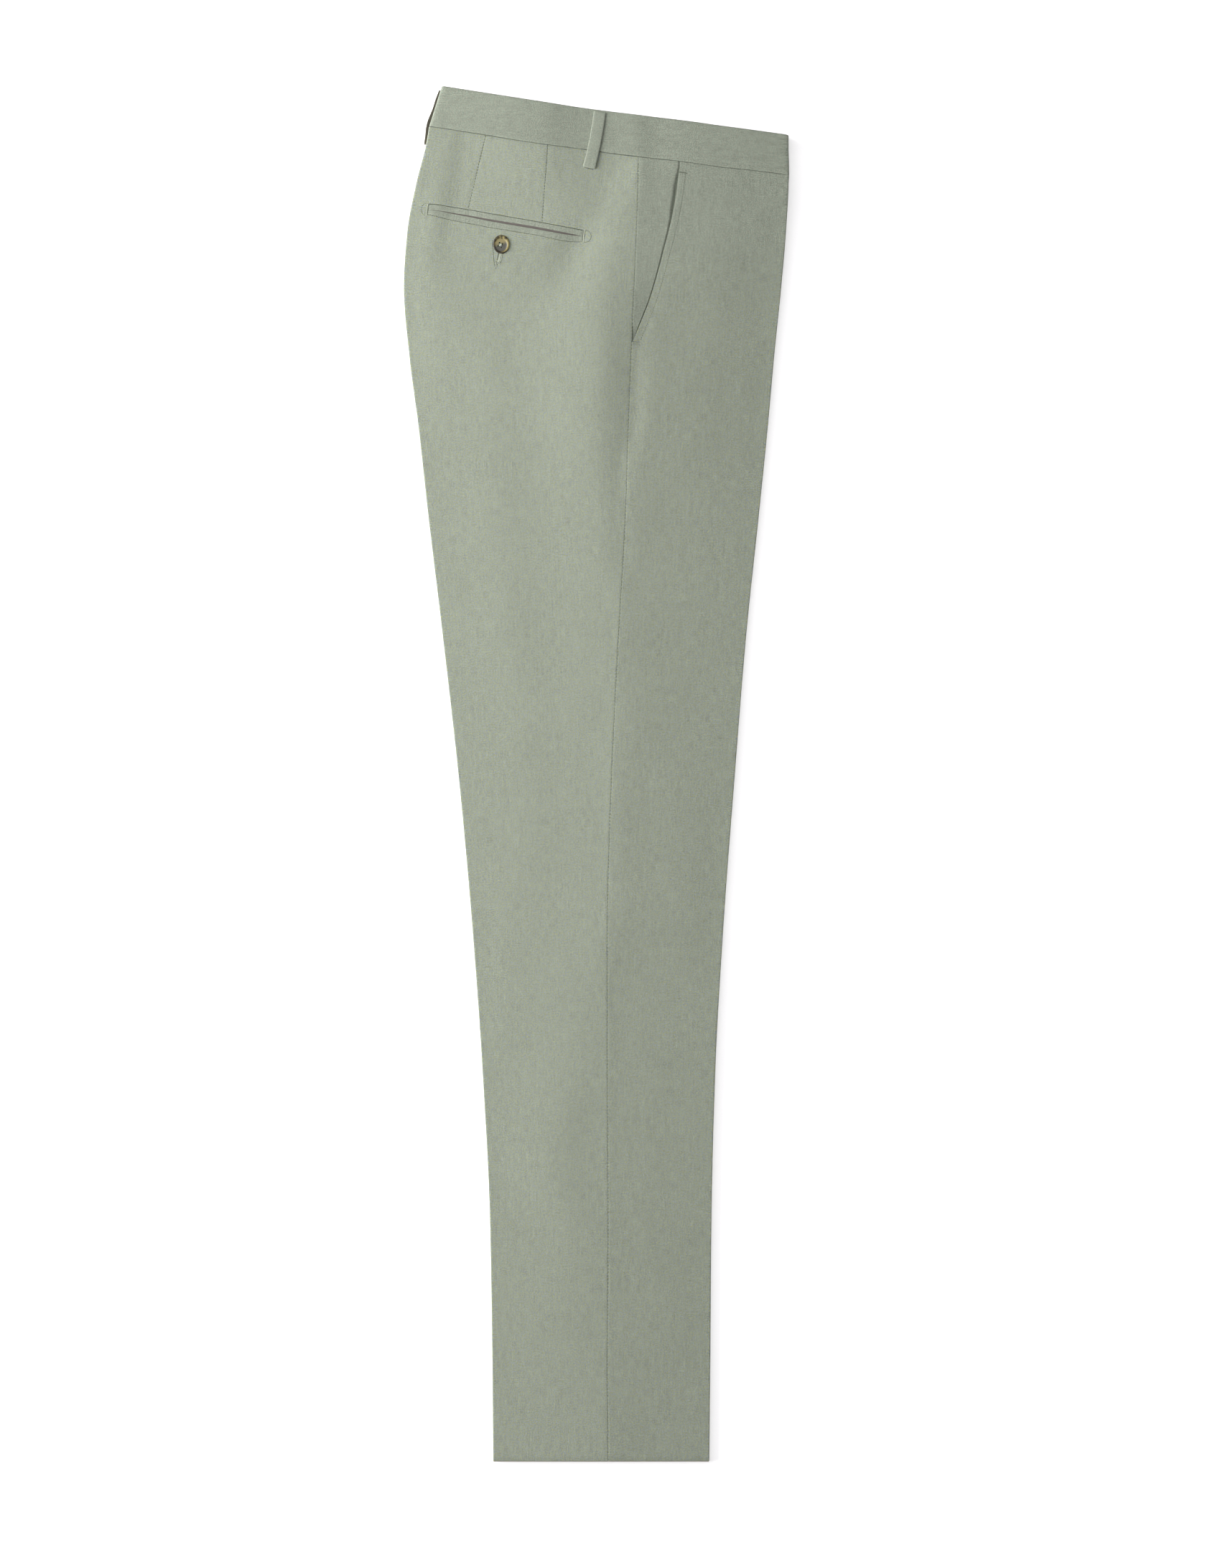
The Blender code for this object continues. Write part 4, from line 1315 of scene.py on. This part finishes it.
def pocket_welt(name, side):
    """side is 1 for the upper welt and -1 for the lower one."""
    stops = np.array(WELT_STOPS + tuple(1 + stop for stop in LIP_STOPS))
    slope = np.array([math.cos(POCKET_SLOPE), math.sin(POCKET_SLOPE)])

    def place(column, row, face):
        part, stop = column / WELT_COLUMNS, stops[row]
        across = mix(POCKET_LEFT[0], POCKET_RIGHT[0], part)
        seam = SLIT.at("above" if side > 0 else "below", across) * slope[0] - WELT_SHORT
        lip = SLIT.at("open", across)
        over = stop.clip(max=1)
        distance = mix(mix(seam, lip, over), SLIT_FOOT, (stop - 1).clip(0))
        spot_across = across - slope[1] * distance * side
        spot_height = slit_height(across) + slope[0] * distance * side
        ends = 1 - smooth(np.minimum(part, 1 - part) * 60)
        pucker = PUCKER * np.sin(0.9 * across + side) * np.sin(0.23 * across) * np.sin(np.pi * over)
        fall = WELT_PROFILE.at("fall", stop) * np.where(stop > 0.5, smooth(lip / 0.5), 1)
        fall = fall + pucker + END_FALL * ends
        top = cloth_top(spot_across, spot_height) - fall
        thick = np.where(face > 0, 0.0, WELT_WALL - 0.6 * fall)
        return spot_across, spot_height, top - thick, across, distance * side

    piece = make_cloth(name + "_cloth", WELT_COLUMNS, len(stops) - 1, place)
    piece.data.materials.append(FINISHES["trim"])
    piece.data.materials.append(LIP_PAINTED_SHADE)
    for face in piece.data.polygons:
        spot = (face.center - ORIGIN) / MM
        face.material_index = int(abs(spot.y - slit_height(spot.x)) < SLIT.at("open", spot.x))
    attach(piece, "root")
    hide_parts(name)
    return piece


welts = [pocket_welt("pocket_welt_upper", 1), pocket_welt("pocket_welt_lower", -1)]
print("welts:", [len(welt.data.polygons) for welt in welts], "faces")

# %% [markdown]
# ## Stitches
#
# Every seam shows its thread as a row of small dashes. A dash is a stretched ball of twenty
# faces, set by a matrix, and all the dashes of one seam are one mesh. A tack is the same dash
# set crosswise and close together. Thread that closes a seam is painted dark as shade, because
# it lies deep; the same dark dashes paint the shade beside a welt's tack, in the buttonhole, in
# the button's holes and at the side loop's foot. Tacks and the buttonhole's purl lie on top and look
# paler.

# %% The thread and the sewing
# painted shade: a dark thread colour for thread that lies in the shade of seams, slits and holes
SHADE_DARK_THREAD = thread("thread_in_seams", linear(76, 82, 64), 1)
TOP_THREAD = thread("thread_topstitch", linear(84, 90, 74), 2)
TACK_THREAD = thread("thread_tacks", linear(196, 202, 184), 3)
TACK_LEAN = 0.35
DASH_ENDS = 1.15               # a dash's ends are round, so it is made this much longer
FLATNESS = 0.7                 # a dash's thickness, as a part of its width


class Sewing:
    """Collects stitches, each with a place, a direction and a size, and makes them one mesh."""

    def __init__(self, name, half="right"):
        self.name = name
        self.half = half
        self.shape = bmesh.new()
        self.count = 0

    def stitch(self, across, height, angle, length, width, raised=0.0):
        if self.half == "right":
            level = float(cloth_top(across, height)) + raised
        else:
            level = max(0.6 * width, float(STACK.at("left_outer", row_at(across, height)))
                        - CLOTH / 2 - raised)
        spot = Vector((across, height, level)) * MM + ORIGIN
        size = Matrix.Diagonal((length * MM, width * MM, width * FLATNESS * MM, 1.0))
        matrix = Matrix.Translation(spot) @ Matrix.Rotation(angle, 4, "Z") @ size
        bmesh.ops.create_icosphere(self.shape, subdivisions=1, radius=0.5, matrix=matrix)
        self.count += 1

    def line(self, points, length, gap, width, raised=0.0):
        """Dashes along a line of points."""
        points = np.array(points, dtype=float)
        runs = np.diff(points, axis=0)
        far = np.concatenate([[0], np.cumsum(np.hypot(runs[:, 0], runs[:, 1]))])
        for start in np.arange(gap / 2, far[-1] - length, length + gap):
            ends = [np.array([np.interp(at, far, points[:, axis]) for axis in (0, 1)])
                    for at in (start, start + length)]
            middle, run = (ends[0] + ends[1]) / 2, ends[1] - ends[0]
            self.stitch(*middle, math.atan2(run[1], run[0]), length * DASH_ENDS, width, raised)

    def tack(self, first, last, reach, pitch, width, raised):
        """Close stitches across a line, leaning one way and the other by turns."""
        first, last = np.array(first, dtype=float), np.array(last, dtype=float)
        run = last - first
        angle = math.atan2(run[1], run[0])
        count = max(2, round(float(np.hypot(*run)) / pitch))
        for k in range(count + 1):
            turn = TACK_LEAN if k % 2 else -TACK_LEAN
            self.stitch(*(first + run * k / count), angle + math.pi / 2 + turn, reach, width, raised)

    def finished(self, material):
        piece = make_object(self.name, self.shape, 80.0)
        piece.data.materials.append(material)
        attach(piece, "root")
        print(self.name, self.count, "stitches")
        return piece


# %% Side seams, darts and the slant pocket's edge
SIDE_STITCH = (1.7, 1.2, 0.42, -0.14)   # length, gap and width of a stitch, and how far it is up
DART_STITCH = (1.6, 0.75, 0.50)
TOP_STITCH = (0.95, 0.8, 0.54)
LOOP_END_STITCH, LOOP_FOOT_STITCH = (1.4, 0.2, 0.6), (1.4, 0.2, 0.55)
DARTS = (((-49.6, 1081.5), (-54.4, 1018.6)), ((-100.6, 1089.3), (-114.8, 1030.2)))
SLANT_TACKS = (                         # from, to, then reach, pitch and width, and how far up
    ((58.2, 1059.3), (64.8, 1057.9), 0.6, 0.3, 0.5, 0.06),
    ((19.9, 920.8), (26.6, 920.0), 0.45, 0.6, 0.36, 0.0),
    ((20.2, 918.4), (26.2, 917.8), 0.45, 0.6, 0.34, 0.0),
)
# painted shadow: dark lines beside the side loop's turned-under end and under its foot
LOOP_END_SHADE_LINE = ((-19.0, 1077.0), (-19.8, 1070.0), (-20.9, 1065.6))
LOOP_FOOT_SHADE_LINE = ((-19.9, 1063.3), (-15.0, 1062.0), (-10.9, 1061.4))


def sew_seams(half):
    seam = Sewing(f"seam_thread_{half}", half)
    heights = np.arange(0.5, SIDE_TOP - 1, 4.0)
    seam.line([(CUT.at("side_seam", h), h) for h in heights], *SIDE_STITCH)
    for top, foot in DARTS:
        seam.line([foot, top], *DART_STITCH)
    return seam.finished(SHADE_DARK_THREAD)


def sew_pocket(half):
    edge = Sewing(f"pocket_thread_{half}", half)
    heights = np.linspace(921.0, 1063.0, 60)
    slope = np.gradient([float(SLANT.at("across", h)) for h in heights], heights)
    line = [(float(SLANT.at("across", h)) + TOPSTITCH_IN * math.cos(math.atan(s)),
             h - TOPSTITCH_IN * math.sin(math.atan(s))) for h, s in zip(heights, slope)]
    line = [spot for spot in line if spot[1] > POCKET_FOOT + 1]
    edge.line(line, *TOP_STITCH)
    for tack in SLANT_TACKS:
        edge.tack(*tack)
    return edge.finished(TOP_THREAD)


def sew_loop_painted_shadow():
    """Dark dashes beside the turned-under end and under the foot: painted shadow of the loop's fold."""
    sewn = Sewing("loop_thread")
    sewn.line(LOOP_END_SHADE_LINE, *LOOP_END_STITCH)
    sewn.line(LOOP_FOOT_SHADE_LINE, *LOOP_FOOT_STITCH)
    return sewn.finished(SHADE_DARK_THREAD)


seam_thread = {half: sew_seams(half) for half in HALVES}
sew_loop_painted_shadow()
pocket_thread = {half: sew_pocket(half) for half in HALVES}


# %% The ends of the back pocket
ROUND_ENDS = (                          # from, to, how far it stands out, then the stitch
    ((-18.4, 1011.8), (-19.6, 1002.4), -5.0, 1.0, 0.3, 0.58, 0.02),
    ((-148.0, 1034.0), (-149.4, 1024.0), 4.8, 1.0, 0.5, 0.48, 0.0),
)
SLIT_STITCH = (1.5, 0.25, 0.44, -0.08)
# the third line, on the right of the pale tack, is painted shade
STRAIGHT_ENDS = (                       # from, to, then the stitch
    ((-146.9, 1033.4), (-148.4, 1024.9), 1.2, 0.3, 0.44, -0.08),
    ((-20.2, 1012.0), (-21.4, 1002.6), 1.2, 0.2, 0.50, -0.06),
    ((-18.7, 1011.6), (-19.7, 1003.4), 1.2, 0.6, 0.34, 0.0),
    ((-20.3, 1001.6), (-20.6, 998.6), 1.2, 0.2, 0.34, -0.06),
)
WELT_TACKS = (
    ((-19.4, 1012.3), (-20.5, 1002.3), 0.9, 0.40, 0.46, 0.14),
    ((-148.0, 1033.3), (-149.2, 1024.4), 0.8, 0.42, 0.40, 0.06),
)


def half_round(corner_1, corner_2, reach):
    """A rounded line from one corner to the other, standing out by reach."""
    corner_1, corner_2 = np.array(corner_1), np.array(corner_2)
    middle, half = (corner_1 + corner_2) / 2, (corner_2 - corner_1) / 2
    square = np.array([half[1], -half[0]]) / np.hypot(*half)
    angles = np.linspace(-np.pi / 2, np.pi / 2, 24)
    return [middle + half * math.sin(a) + square * reach * math.cos(a) ** 0.8 for a in angles]


def sew_pocket_ends():
    ends = Sewing("welt_seam_thread")
    for first, last, stands_out, *stitch in ROUND_ENDS:
        ends.line(half_round(first, last, stands_out), *stitch)
    across = np.linspace(POCKET_LEFT[0], POCKET_RIGHT[0], 40)
    for side, name in ((1, "above"), (-1, "below")):
        reach = SLIT.at(name, across)
        lean_out = -math.sin(POCKET_SLOPE) * reach * side
        ends.line(list(zip(across + lean_out, slit_height(across) + reach * side)), *SLIT_STITCH)
    for first, last, *stitch in STRAIGHT_ENDS:
        ends.line([first, last], *stitch)
    return ends.finished(SHADE_DARK_THREAD)


def sew_tacks():
    tacks = Sewing("welt_tack_thread")
    for tack in WELT_TACKS:
        tacks.tack(*tack)
    return tacks.finished(TACK_THREAD)


welt_thread = [sew_pocket_ends(), sew_tacks()]

# %% [markdown]
# ## The buttonhole
#
# It runs down from under the button. A cut through the mesh would hardly be seen, so the shade
# along its two outlines and in its slit is painted with dark dashes. Pale purl stitches run across
# beside the slit, and a small knot of thread closes its foot, with dark arcs round it that paint
# its shadow.

# %% The buttonhole
BUTTON_PLACE = (-87.7, 1000.4)
HOLE_LEFT = (                           # lines that run down from under the button
    (-95.0, 1004.0), (-94.9, 999.6), (-94.4, 993.3), (-94.0, 986.9), (-93.3, 983.4), (-91.8, 980.3))
HOLE_SLIT = ((-89.8, 995.0), (-90.2, 992.0), (-90.9, 989.0), (-91.4, 986.4))
HOLE_RIGHT = ((-86.3, 994.5), (-86.7, 991.5), (-87.5, 987.8), (-88.4, 984.0))
HOLE_LINES = ((HOLE_LEFT, 1.5, 0.1, 0.52, -0.03), (HOLE_SLIT, 1.3, 0.0, 0.80, -0.05),
              (HOLE_RIGHT, 0.8, 0.3, 0.60, -0.03))
PURL_TOP, PURL_FOOT, PURLS = 993.0, 985.6, 11
PURL_ASIDE, PURL_LEAN, PURL_SHORT, PURL_WIDTH, PURL_UP = 0.1, 0.35, 0.9, 0.36, 0.04
KNOT_SHADES = ((-92.1, 985.0, 1.5), (-89.6, 985.1, 1.5), (-91.4, 983.2, 1.1))   # then the reach
KNOTS = ((-92.2, 984.9, 0.9), (-89.6, 985.0, 0.9), (-91.9, 982.6, 1.0))
SHADE_HALF, KNOT_HALF = 1.0, 0.7        # half the width of a rounded line
SHADE_STITCH, KNOT_STITCH = (0.8, 0.1, 0.36, 0.02), (0.7, 0.0, 0.50, 0.2)


def across_at(height, line):
    """Where a line that runs down is at a height."""
    across, heights = np.array(line[::-1]).T
    return np.interp(height, heights, across)


def sew_buttonhole():
    """Its two outlines and its slit in painted shade, purl stitches beside the slit, and a knot at its
    foot with painted shadow round it.
    """
    dark = Sewing("buttonhole_slit_thread")
    for points, *stitch in HOLE_LINES:
        dark.line(points, *stitch)
    for across, height, reach in KNOT_SHADES:
        line = half_round((across - SHADE_HALF, height), (across + SHADE_HALF, height), -reach)
        dark.line(line, *SHADE_STITCH)
    pale = Sewing("buttonhole_thread")
    for height in np.linspace(PURL_TOP, PURL_FOOT, PURLS):
        left, right = across_at(height, HOLE_SLIT[1:]), across_at(height, HOLE_RIGHT[1:])
        pale.stitch((left + right) / 2 + PURL_ASIDE, height, PURL_LEAN,
                    right - left - PURL_SHORT, PURL_WIDTH, PURL_UP)
    for across, height, reach in KNOTS:
        for side in (1, -1):
            line = half_round((across - KNOT_HALF, height), (across + KNOT_HALF, height), side * reach)
            pale.line(line, *KNOT_STITCH)
    return [dark.finished(SHADE_DARK_THREAD), pale.finished(TACK_THREAD)]


welt_thread += sew_buttonhole()

# %% [markdown]
# ## The horn button
#
# A button is turned: a dished middle, a raised rim, a rounded edge. Its half section is spun,
# the four holes are cut through with cylinders, and the thread crosses over between them. Its
# colour runs in soft bands from grey brown to amber, and it is dark at the left and the bottom.

# %% Its half section, holes and colours
BUTTON = Table(
    "along  radius  height",
    (0.0,   0.0,    0.75),
    (1.0,   2.6,    0.75),
    (2.0,   4.7,    0.8),
    (3.0,   5.5,    1.1),
    (4.0,   6.2,    1.4),
    (5.0,   6.8,    1.25),
    (6.0,   7.25,   0.8),
    (7.0,   7.0,    0.3),
    (8.0,   5.8,    0.02),
    (9.0,   0.0,    0.0),
)
BUTTON_RADIUS = 7.3
BUTTON_STRETCH = (0.94, 1.05)           # it lies a little tilted
DISH_SHIFT = (-0.6, -0.6)
LIES_UP = 0.03                          # its back just clears the cloth
STRAND = (2.9, 0.40, 0.6)               # length, width and thickness
STRAND_PITCH, CROSSING_UP, CROSSED_BY = 0.3, 0.95, 0.1
HOLE_FILL = (1.7, 1.7, -0.35)           # the thread in a hole: length, width and level
THREAD_HOLE, HOLE_SPREAD, HOLE_TURN = 0.78, 1.4, math.radians(-20)
HOLE_SIDES = ((-1, -1), (1, -1), (1, 1), (-1, 1))
DISH_COLOURS = linear(78, 76, 68), linear(140, 129, 86)         # grey at its foot and tan above
RIM_COLOURS = linear(44, 38, 24), linear(152, 141, 90)
FLECK_COLOUR = linear(46, 40, 30)
OUTER_EDGE_COLOUR = linear(56, 48, 36)
RIM_FROM, OUTER_EDGE_FROM = (5.1, 0.6), (6.5, 0.5)      # radius, and over what width it comes in
FLECKS = (                              # across, height and size, from the button's middle
    (-2.6, 5.9, 1.3), (0.3, 6.4, 1.1), (0.5, 4.9, 0.8), (3.7, 5.2, 1.6), (-5.6, 3.4, 1.7))
print("button is", round(2 * BUTTON_RADIUS * BUTTON_STRETCH[1], 1), "mm across")


# %% Horn
def horn():
    """Grey at the foot of the dish, tan above, amber round the rim, dark flecks at the top."""
    made = Finish("horn", Roughness=0.42, Coat_Weight=0.1, Coat_Roughness=0.3)
    place = made.node("ShaderNodeTexCoord", {}).outputs["Object"]
    centre = (Vector((*BUTTON_PLACE, 0.0)) * MM + ORIGIN)
    away = made.node("ShaderNodeVectorMath", {"operation": "SUBTRACT"}, place, (*centre.xy, 0.0))
    parts = made.node("ShaderNodeSeparateXYZ", {}, away.outputs[0]).outputs
    x, y = made.number(parts[0]) * 1000.0, made.number(parts[1]) * 1000.0
    radius = (x * x + y * y) ** 0.5
    dish_x, dish_y = x - DISH_SHIFT[0], y - DISH_SHIFT[1]
    dish_radius = (dish_x * dish_x + dish_y * dish_y) ** 0.5
    cloud = made.noise(x * 0.5, y * 0.4, 3.0, 3.0) - 0.5
    streak = made.noise(x * 0.9, y * 0.9, 9.0, 2.0) - 0.5

    dish = made.colours(*DISH_COLOURS, (0.35 + y * 0.36 - x * 0.10 + cloud * 0.9).clamped())
    rim = made.colours(*RIM_COLOURS, (0.55 + x * 0.15 + y * 0.05 + cloud * 0.7).clamped())
    colour = made.colours(dish, rim, ((dish_radius - RIM_FROM[0]) / RIM_FROM[1]).clamped())
    for across, height, size in FLECKS:
        beside, above = x - across, y - height
        spot = (1.2 - (beside * beside + above * above) * (1.0 / size ** 2) + streak * 1.5).clamped()
        colour = made.colours(colour, FLECK_COLOUR, spot * 0.85)
    outer_edge = ((radius - OUTER_EDGE_FROM[0]) / OUTER_EDGE_FROM[1]).clamped()
    outer_edge = outer_edge * (0.85 - x * 0.04 - y * 0.03).clamped()
    colour = made.colours(colour, OUTER_EDGE_COLOUR, outer_edge)
    made.set(made.shader.inputs["Base Color"], colour)
    made.set(made.shader.inputs["Roughness"], 0.42 + streak * 0.2)
    bump = made.node("ShaderNodeBump", {}, Strength=0.1, Distance=0.0002, Height=streak)
    made.set(made.shader.inputs["Normal"], bump.outputs[0])
    return made.material


# %% The button, turned and drilled
def turned_disc():
    """The half section, spun round. Its middle is shifted, because it lies a little tilted."""
    shape = bmesh.new()
    stops = np.linspace(0, 9, 37)
    profile = [shape.verts.new((float(BUTTON.at("radius", s)), 0.0, float(BUTTON.at("height", s))))
               for s in stops]
    edges = [shape.edges.new(pair) for pair in zip(profile, profile[1:])]
    bmesh.ops.spin(shape, geom=profile + edges, cent=(0, 0, 0), axis=(0, 0, 1),
                   angle=2 * math.pi, steps=64, use_merge=True)
    bmesh.ops.remove_doubles(shape, verts=shape.verts, dist=0.002)
    for vert in shape.verts:
        beyond = (vert.co.xy.length / BUTTON_RADIUS) ** 4
        vert.co.x = vert.co.x * BUTTON_STRETCH[0] + DISH_SHIFT[0] * (1 - beyond)
        vert.co.y = vert.co.y * BUTTON_STRETCH[1] + DISH_SHIFT[1] * (1 - beyond)
    return shape


def hole_middles():
    """The middles of the four holes, from the middle of the button."""
    for hole in HOLE_SIDES:
        yield Matrix.Rotation(HOLE_TURN, 2) @ Vector(hole) * HOLE_SPREAD + Vector(DISH_SHIFT)


def drill_holes(button, place):
    drill = bmesh.new()
    for middle in hole_middles():
        spot = place @ Matrix.Translation(Vector((*middle, 0)) * MM)
        bmesh.ops.create_cone(drill, cap_ends=True, segments=20, radius1=THREAD_HOLE * MM,
                              radius2=THREAD_HOLE * MM, depth=0.02, matrix=spot)
    cutter = make_object("drill", drill)
    cut = button.modifiers.new("holes", "BOOLEAN")
    cut.operation, cut.object = "DIFFERENCE", cutter
    drilled = bpy.data.meshes.new_from_object(button.evaluated_get(bpy.context.evaluated_depsgraph_get()))
    button.modifiers.clear()
    button.data = drilled
    bpy.data.objects.remove(cutter, do_unlink=True)


def back_button():
    shape = turned_disc()
    base = (float(cloth_top(*BUTTON_PLACE)) + LIES_UP) * MM
    place = Matrix.Translation(Vector((*BUTTON_PLACE, 0.0)) * MM + ORIGIN + Vector((0, 0, base)))
    bmesh.ops.transform(shape, matrix=place @ Matrix.Scale(MM, 4), verts=shape.verts)
    bmesh.ops.recalc_face_normals(shape, faces=shape.faces)
    button = make_object("back_pocket_button_horn", shape, 40.0)
    drill_holes(button, place)
    button.data.materials.clear()
    button.data.materials.append(horn())
    button.data.shade_smooth()
    button.data.set_sharp_from_angle(angle=math.radians(40))
    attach(button, "root")
    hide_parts("back_pocket_button")
    print(button.name, len(button.data.polygons), "faces")
    return button, base / MM


button, button_base = back_button()


# %% Its thread
def button_thread(base):
    """Two crossed bundles of three strands, sunk at their ends into the holes."""
    shape = bmesh.new()
    for turn in (1, -1):
        angle = turn * math.pi / 4 + HOLE_TURN
        for strand in (-1, 0, 1):
            away = Vector((-math.sin(angle), math.cos(angle), 0)) * STRAND_PITCH * strand
            level = base + CROSSING_UP + CROSSED_BY * turn
            spot = Vector((*BUTTON_PLACE, level)) + Vector((*DISH_SHIFT, 0)) + away
            size = Matrix.Diagonal((*(side * MM for side in STRAND), 1))
            matrix = Matrix.Translation(spot * MM + ORIGIN) @ Matrix.Rotation(angle, 4, "Z") @ size
            bmesh.ops.create_icosphere(shape, subdivisions=2, radius=0.5, matrix=matrix)
    piece = make_object("button_thread", shape, 80.0)
    piece.data.materials.append(thread("thread_button", linear(190, 198, 182), 5))
    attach(piece, "root")
    print(piece.name, len(piece.data.polygons), "faces")
    return piece


def thread_in_holes():
    """The thread goes down through the four holes; there its colour is painted dark as shade."""
    ends = Sewing("button_shank_thread")
    for middle in hole_middles():
        ends.stitch(*(middle + Vector(BUTTON_PLACE)), 0.0, *HOLE_FILL)
    return ends.finished(SHADE_DARK_THREAD)


button_threads = [button_thread(button_base), thread_in_holes()]

# %% [markdown]
# ## What each sheet was cut as
#
# The size that each panel was cut to is worked out and printed. A panel's width is its outer
# and its folded-in part together, so it is worked out from the same tables.

# %% The cut of each sheet
def panel_cut(part):
    """Widest place, length and area of a panel laid flat."""
    heights = np.linspace(0, SIDE_TOP, 400)
    edge = CUT.at(part + "_edge", heights)
    start = CUT.at("side_seam", heights)
    if part == "front":
        start = np.where(heights > POCKET_FOOT, slant_edge(heights), start)
    widths = np.abs(edge - start) + np.abs(edge - rise_seam(part, heights))
    edge_height = float(WAIST.at("seam", BAND_FRONT if part == "front" else BAND_BACK))
    length = max(SIDE_TOP, edge_height)
    return widths.max() * MM, length * MM, float(widths.mean()) * length * MM * MM


for (part, half), piece in panels.items():
    width, length, area = panel_cut(part)
    carried = {"front": [pocket_thread[half]], "back": [seam_thread[half]]}[part]
    if (part, half) == ("back", "right"):
        carried += welts + welt_thread + [button, *button_threads]
    under = () if half == "left" else [panels[part, "left"]]
    print(piece.name, "cut", round(width, 3), "x", round(length, 3), "m")

for half, piece in bands.items():
    round_band = BAND_FRONT - BAND_BACK
    folded_in = (BAND_FRONT - RISE["front"]["top"]) + (RISE["back"]["top"] - BAND_BACK)
    (round_band + folded_in) * MM

# %% [markdown]
# ## Floor, light and camera
#
# The trousers lie on a plain white floor. A wide, low window at the left draws the weave and
# the swells. One above, further off, and a weak white card at the right fill the shadows. The
# camera is far away with a long lens and looks straight down, so that nothing leans outwards.

# %% The floor
FLOOR_REACH, FLOOR_DOWN = 4.0, 0.0003   # it lies just below the cloth, so the two don't touch
FLOOR_COLOURS = linear(250, 250, 251), linear(254, 253, 255)


def white_floor():
    shape = bmesh.new()
    bmesh.ops.create_grid(shape, x_segments=1, y_segments=1, size=FLOOR_REACH)
    bmesh.ops.translate(shape, vec=(0, 0, -FLOOR_DOWN), verts=shape.verts)
    floor = make_object("floor", shape)
    made = Finish("white_floor", Roughness=0.9, Emission_Strength=0.55)
    place = made.node("ShaderNodeTexCoord", {}).outputs["Object"]
    parts = made.node("ShaderNodeSeparateXYZ", {}, place).outputs
    x, y = made.number(parts[0]), made.number(parts[1])
    paper = made.noise(x * 300.0, y * 300.0, 1.0, 2.0)
    made.set(made.shader.inputs["Base Color"], made.colours(*FLOOR_COLOURS, paper))
    made.set(made.shader.inputs["Emission Color"], linear(255, 253, 255))
    floor.data.materials.append(made.material)
    print("floor is", 2 * FLOOR_REACH, "m wide")


white_floor()

# %% The lights
def soft_light(name, place, aim, width, height, power, colour):
    lamp = bpy.data.lights.new(name, "AREA")
    lamp.shape = "RECTANGLE"
    lamp.size, lamp.size_y = width, height
    lamp.energy = power
    lamp.color = colour
    light = bpy.data.objects.new(name, lamp)
    bpy.context.scene.collection.objects.link(light)
    light.location = place
    light.visible_camera = False
    light.rotation_euler = (Vector(aim) - Vector(place)).to_track_quat("-Z", "Y").to_euler()


DAYLIGHT, WHITE = (1.0, 0.995, 0.985), (1.0, 1.0, 1.0)
LIGHTS = (      # name, place, what it points at, width, height, watts, colour
    ("window_left", (-2.1, 0.28, 0.85), (0.0, 0.0, 0.0), 2.2, 1.6, 98.0, DAYLIGHT),
    ("window_above", (-1.25, 0.75, 2.5), (-1.25, 0.75, 0.0), 2.5, 2.2, 38.0, DAYLIGHT),
    ("card_right", (1.1, 0.0, 0.16), (0.1, 0.0, 0.0), 1.6, 0.3, 4.5, WHITE),
)
for light in LIGHTS:
    soft_light(*light)
    print("light", light[0], light[5], "W")

world = bpy.data.worlds.new("white_room")
world.use_nodes = True
background = world.node_tree.nodes["Background"].inputs
background["Color"].default_value = (0.97, 0.98, 1.0, 1.0)
background["Strength"].default_value = 0.1
bpy.context.scene.world = world
bpy.context.scene.view_settings.view_transform = "Standard"

# %% The camera
VIEW_CENTRE = (1.5, 557.3)     # the middle of the view, in millimetres from the seam at the hem
VIEW_TALL = 1.2886             # what it takes in from top to bottom, in metres
CAMERA_UP = 3.2
GARMENT_UP = 0.008
SENSOR = 36.0

camera_data = bpy.data.cameras.new("camera")
camera_data.sensor_width = SENSOR
camera_data.lens = SENSOR * CAMERA_UP / VIEW_TALL
camera = bpy.data.objects.new("camera", camera_data)
bpy.context.scene.collection.objects.link(camera)
camera.location = Vector((*VIEW_CENTRE, 0.0)) * MM + ORIGIN + Vector((0, 0, CAMERA_UP + GARMENT_UP))
bpy.context.scene.camera = camera
print("lens", round(camera_data.lens, 1), "mm at", CAMERA_UP, "m")

# %% [markdown]
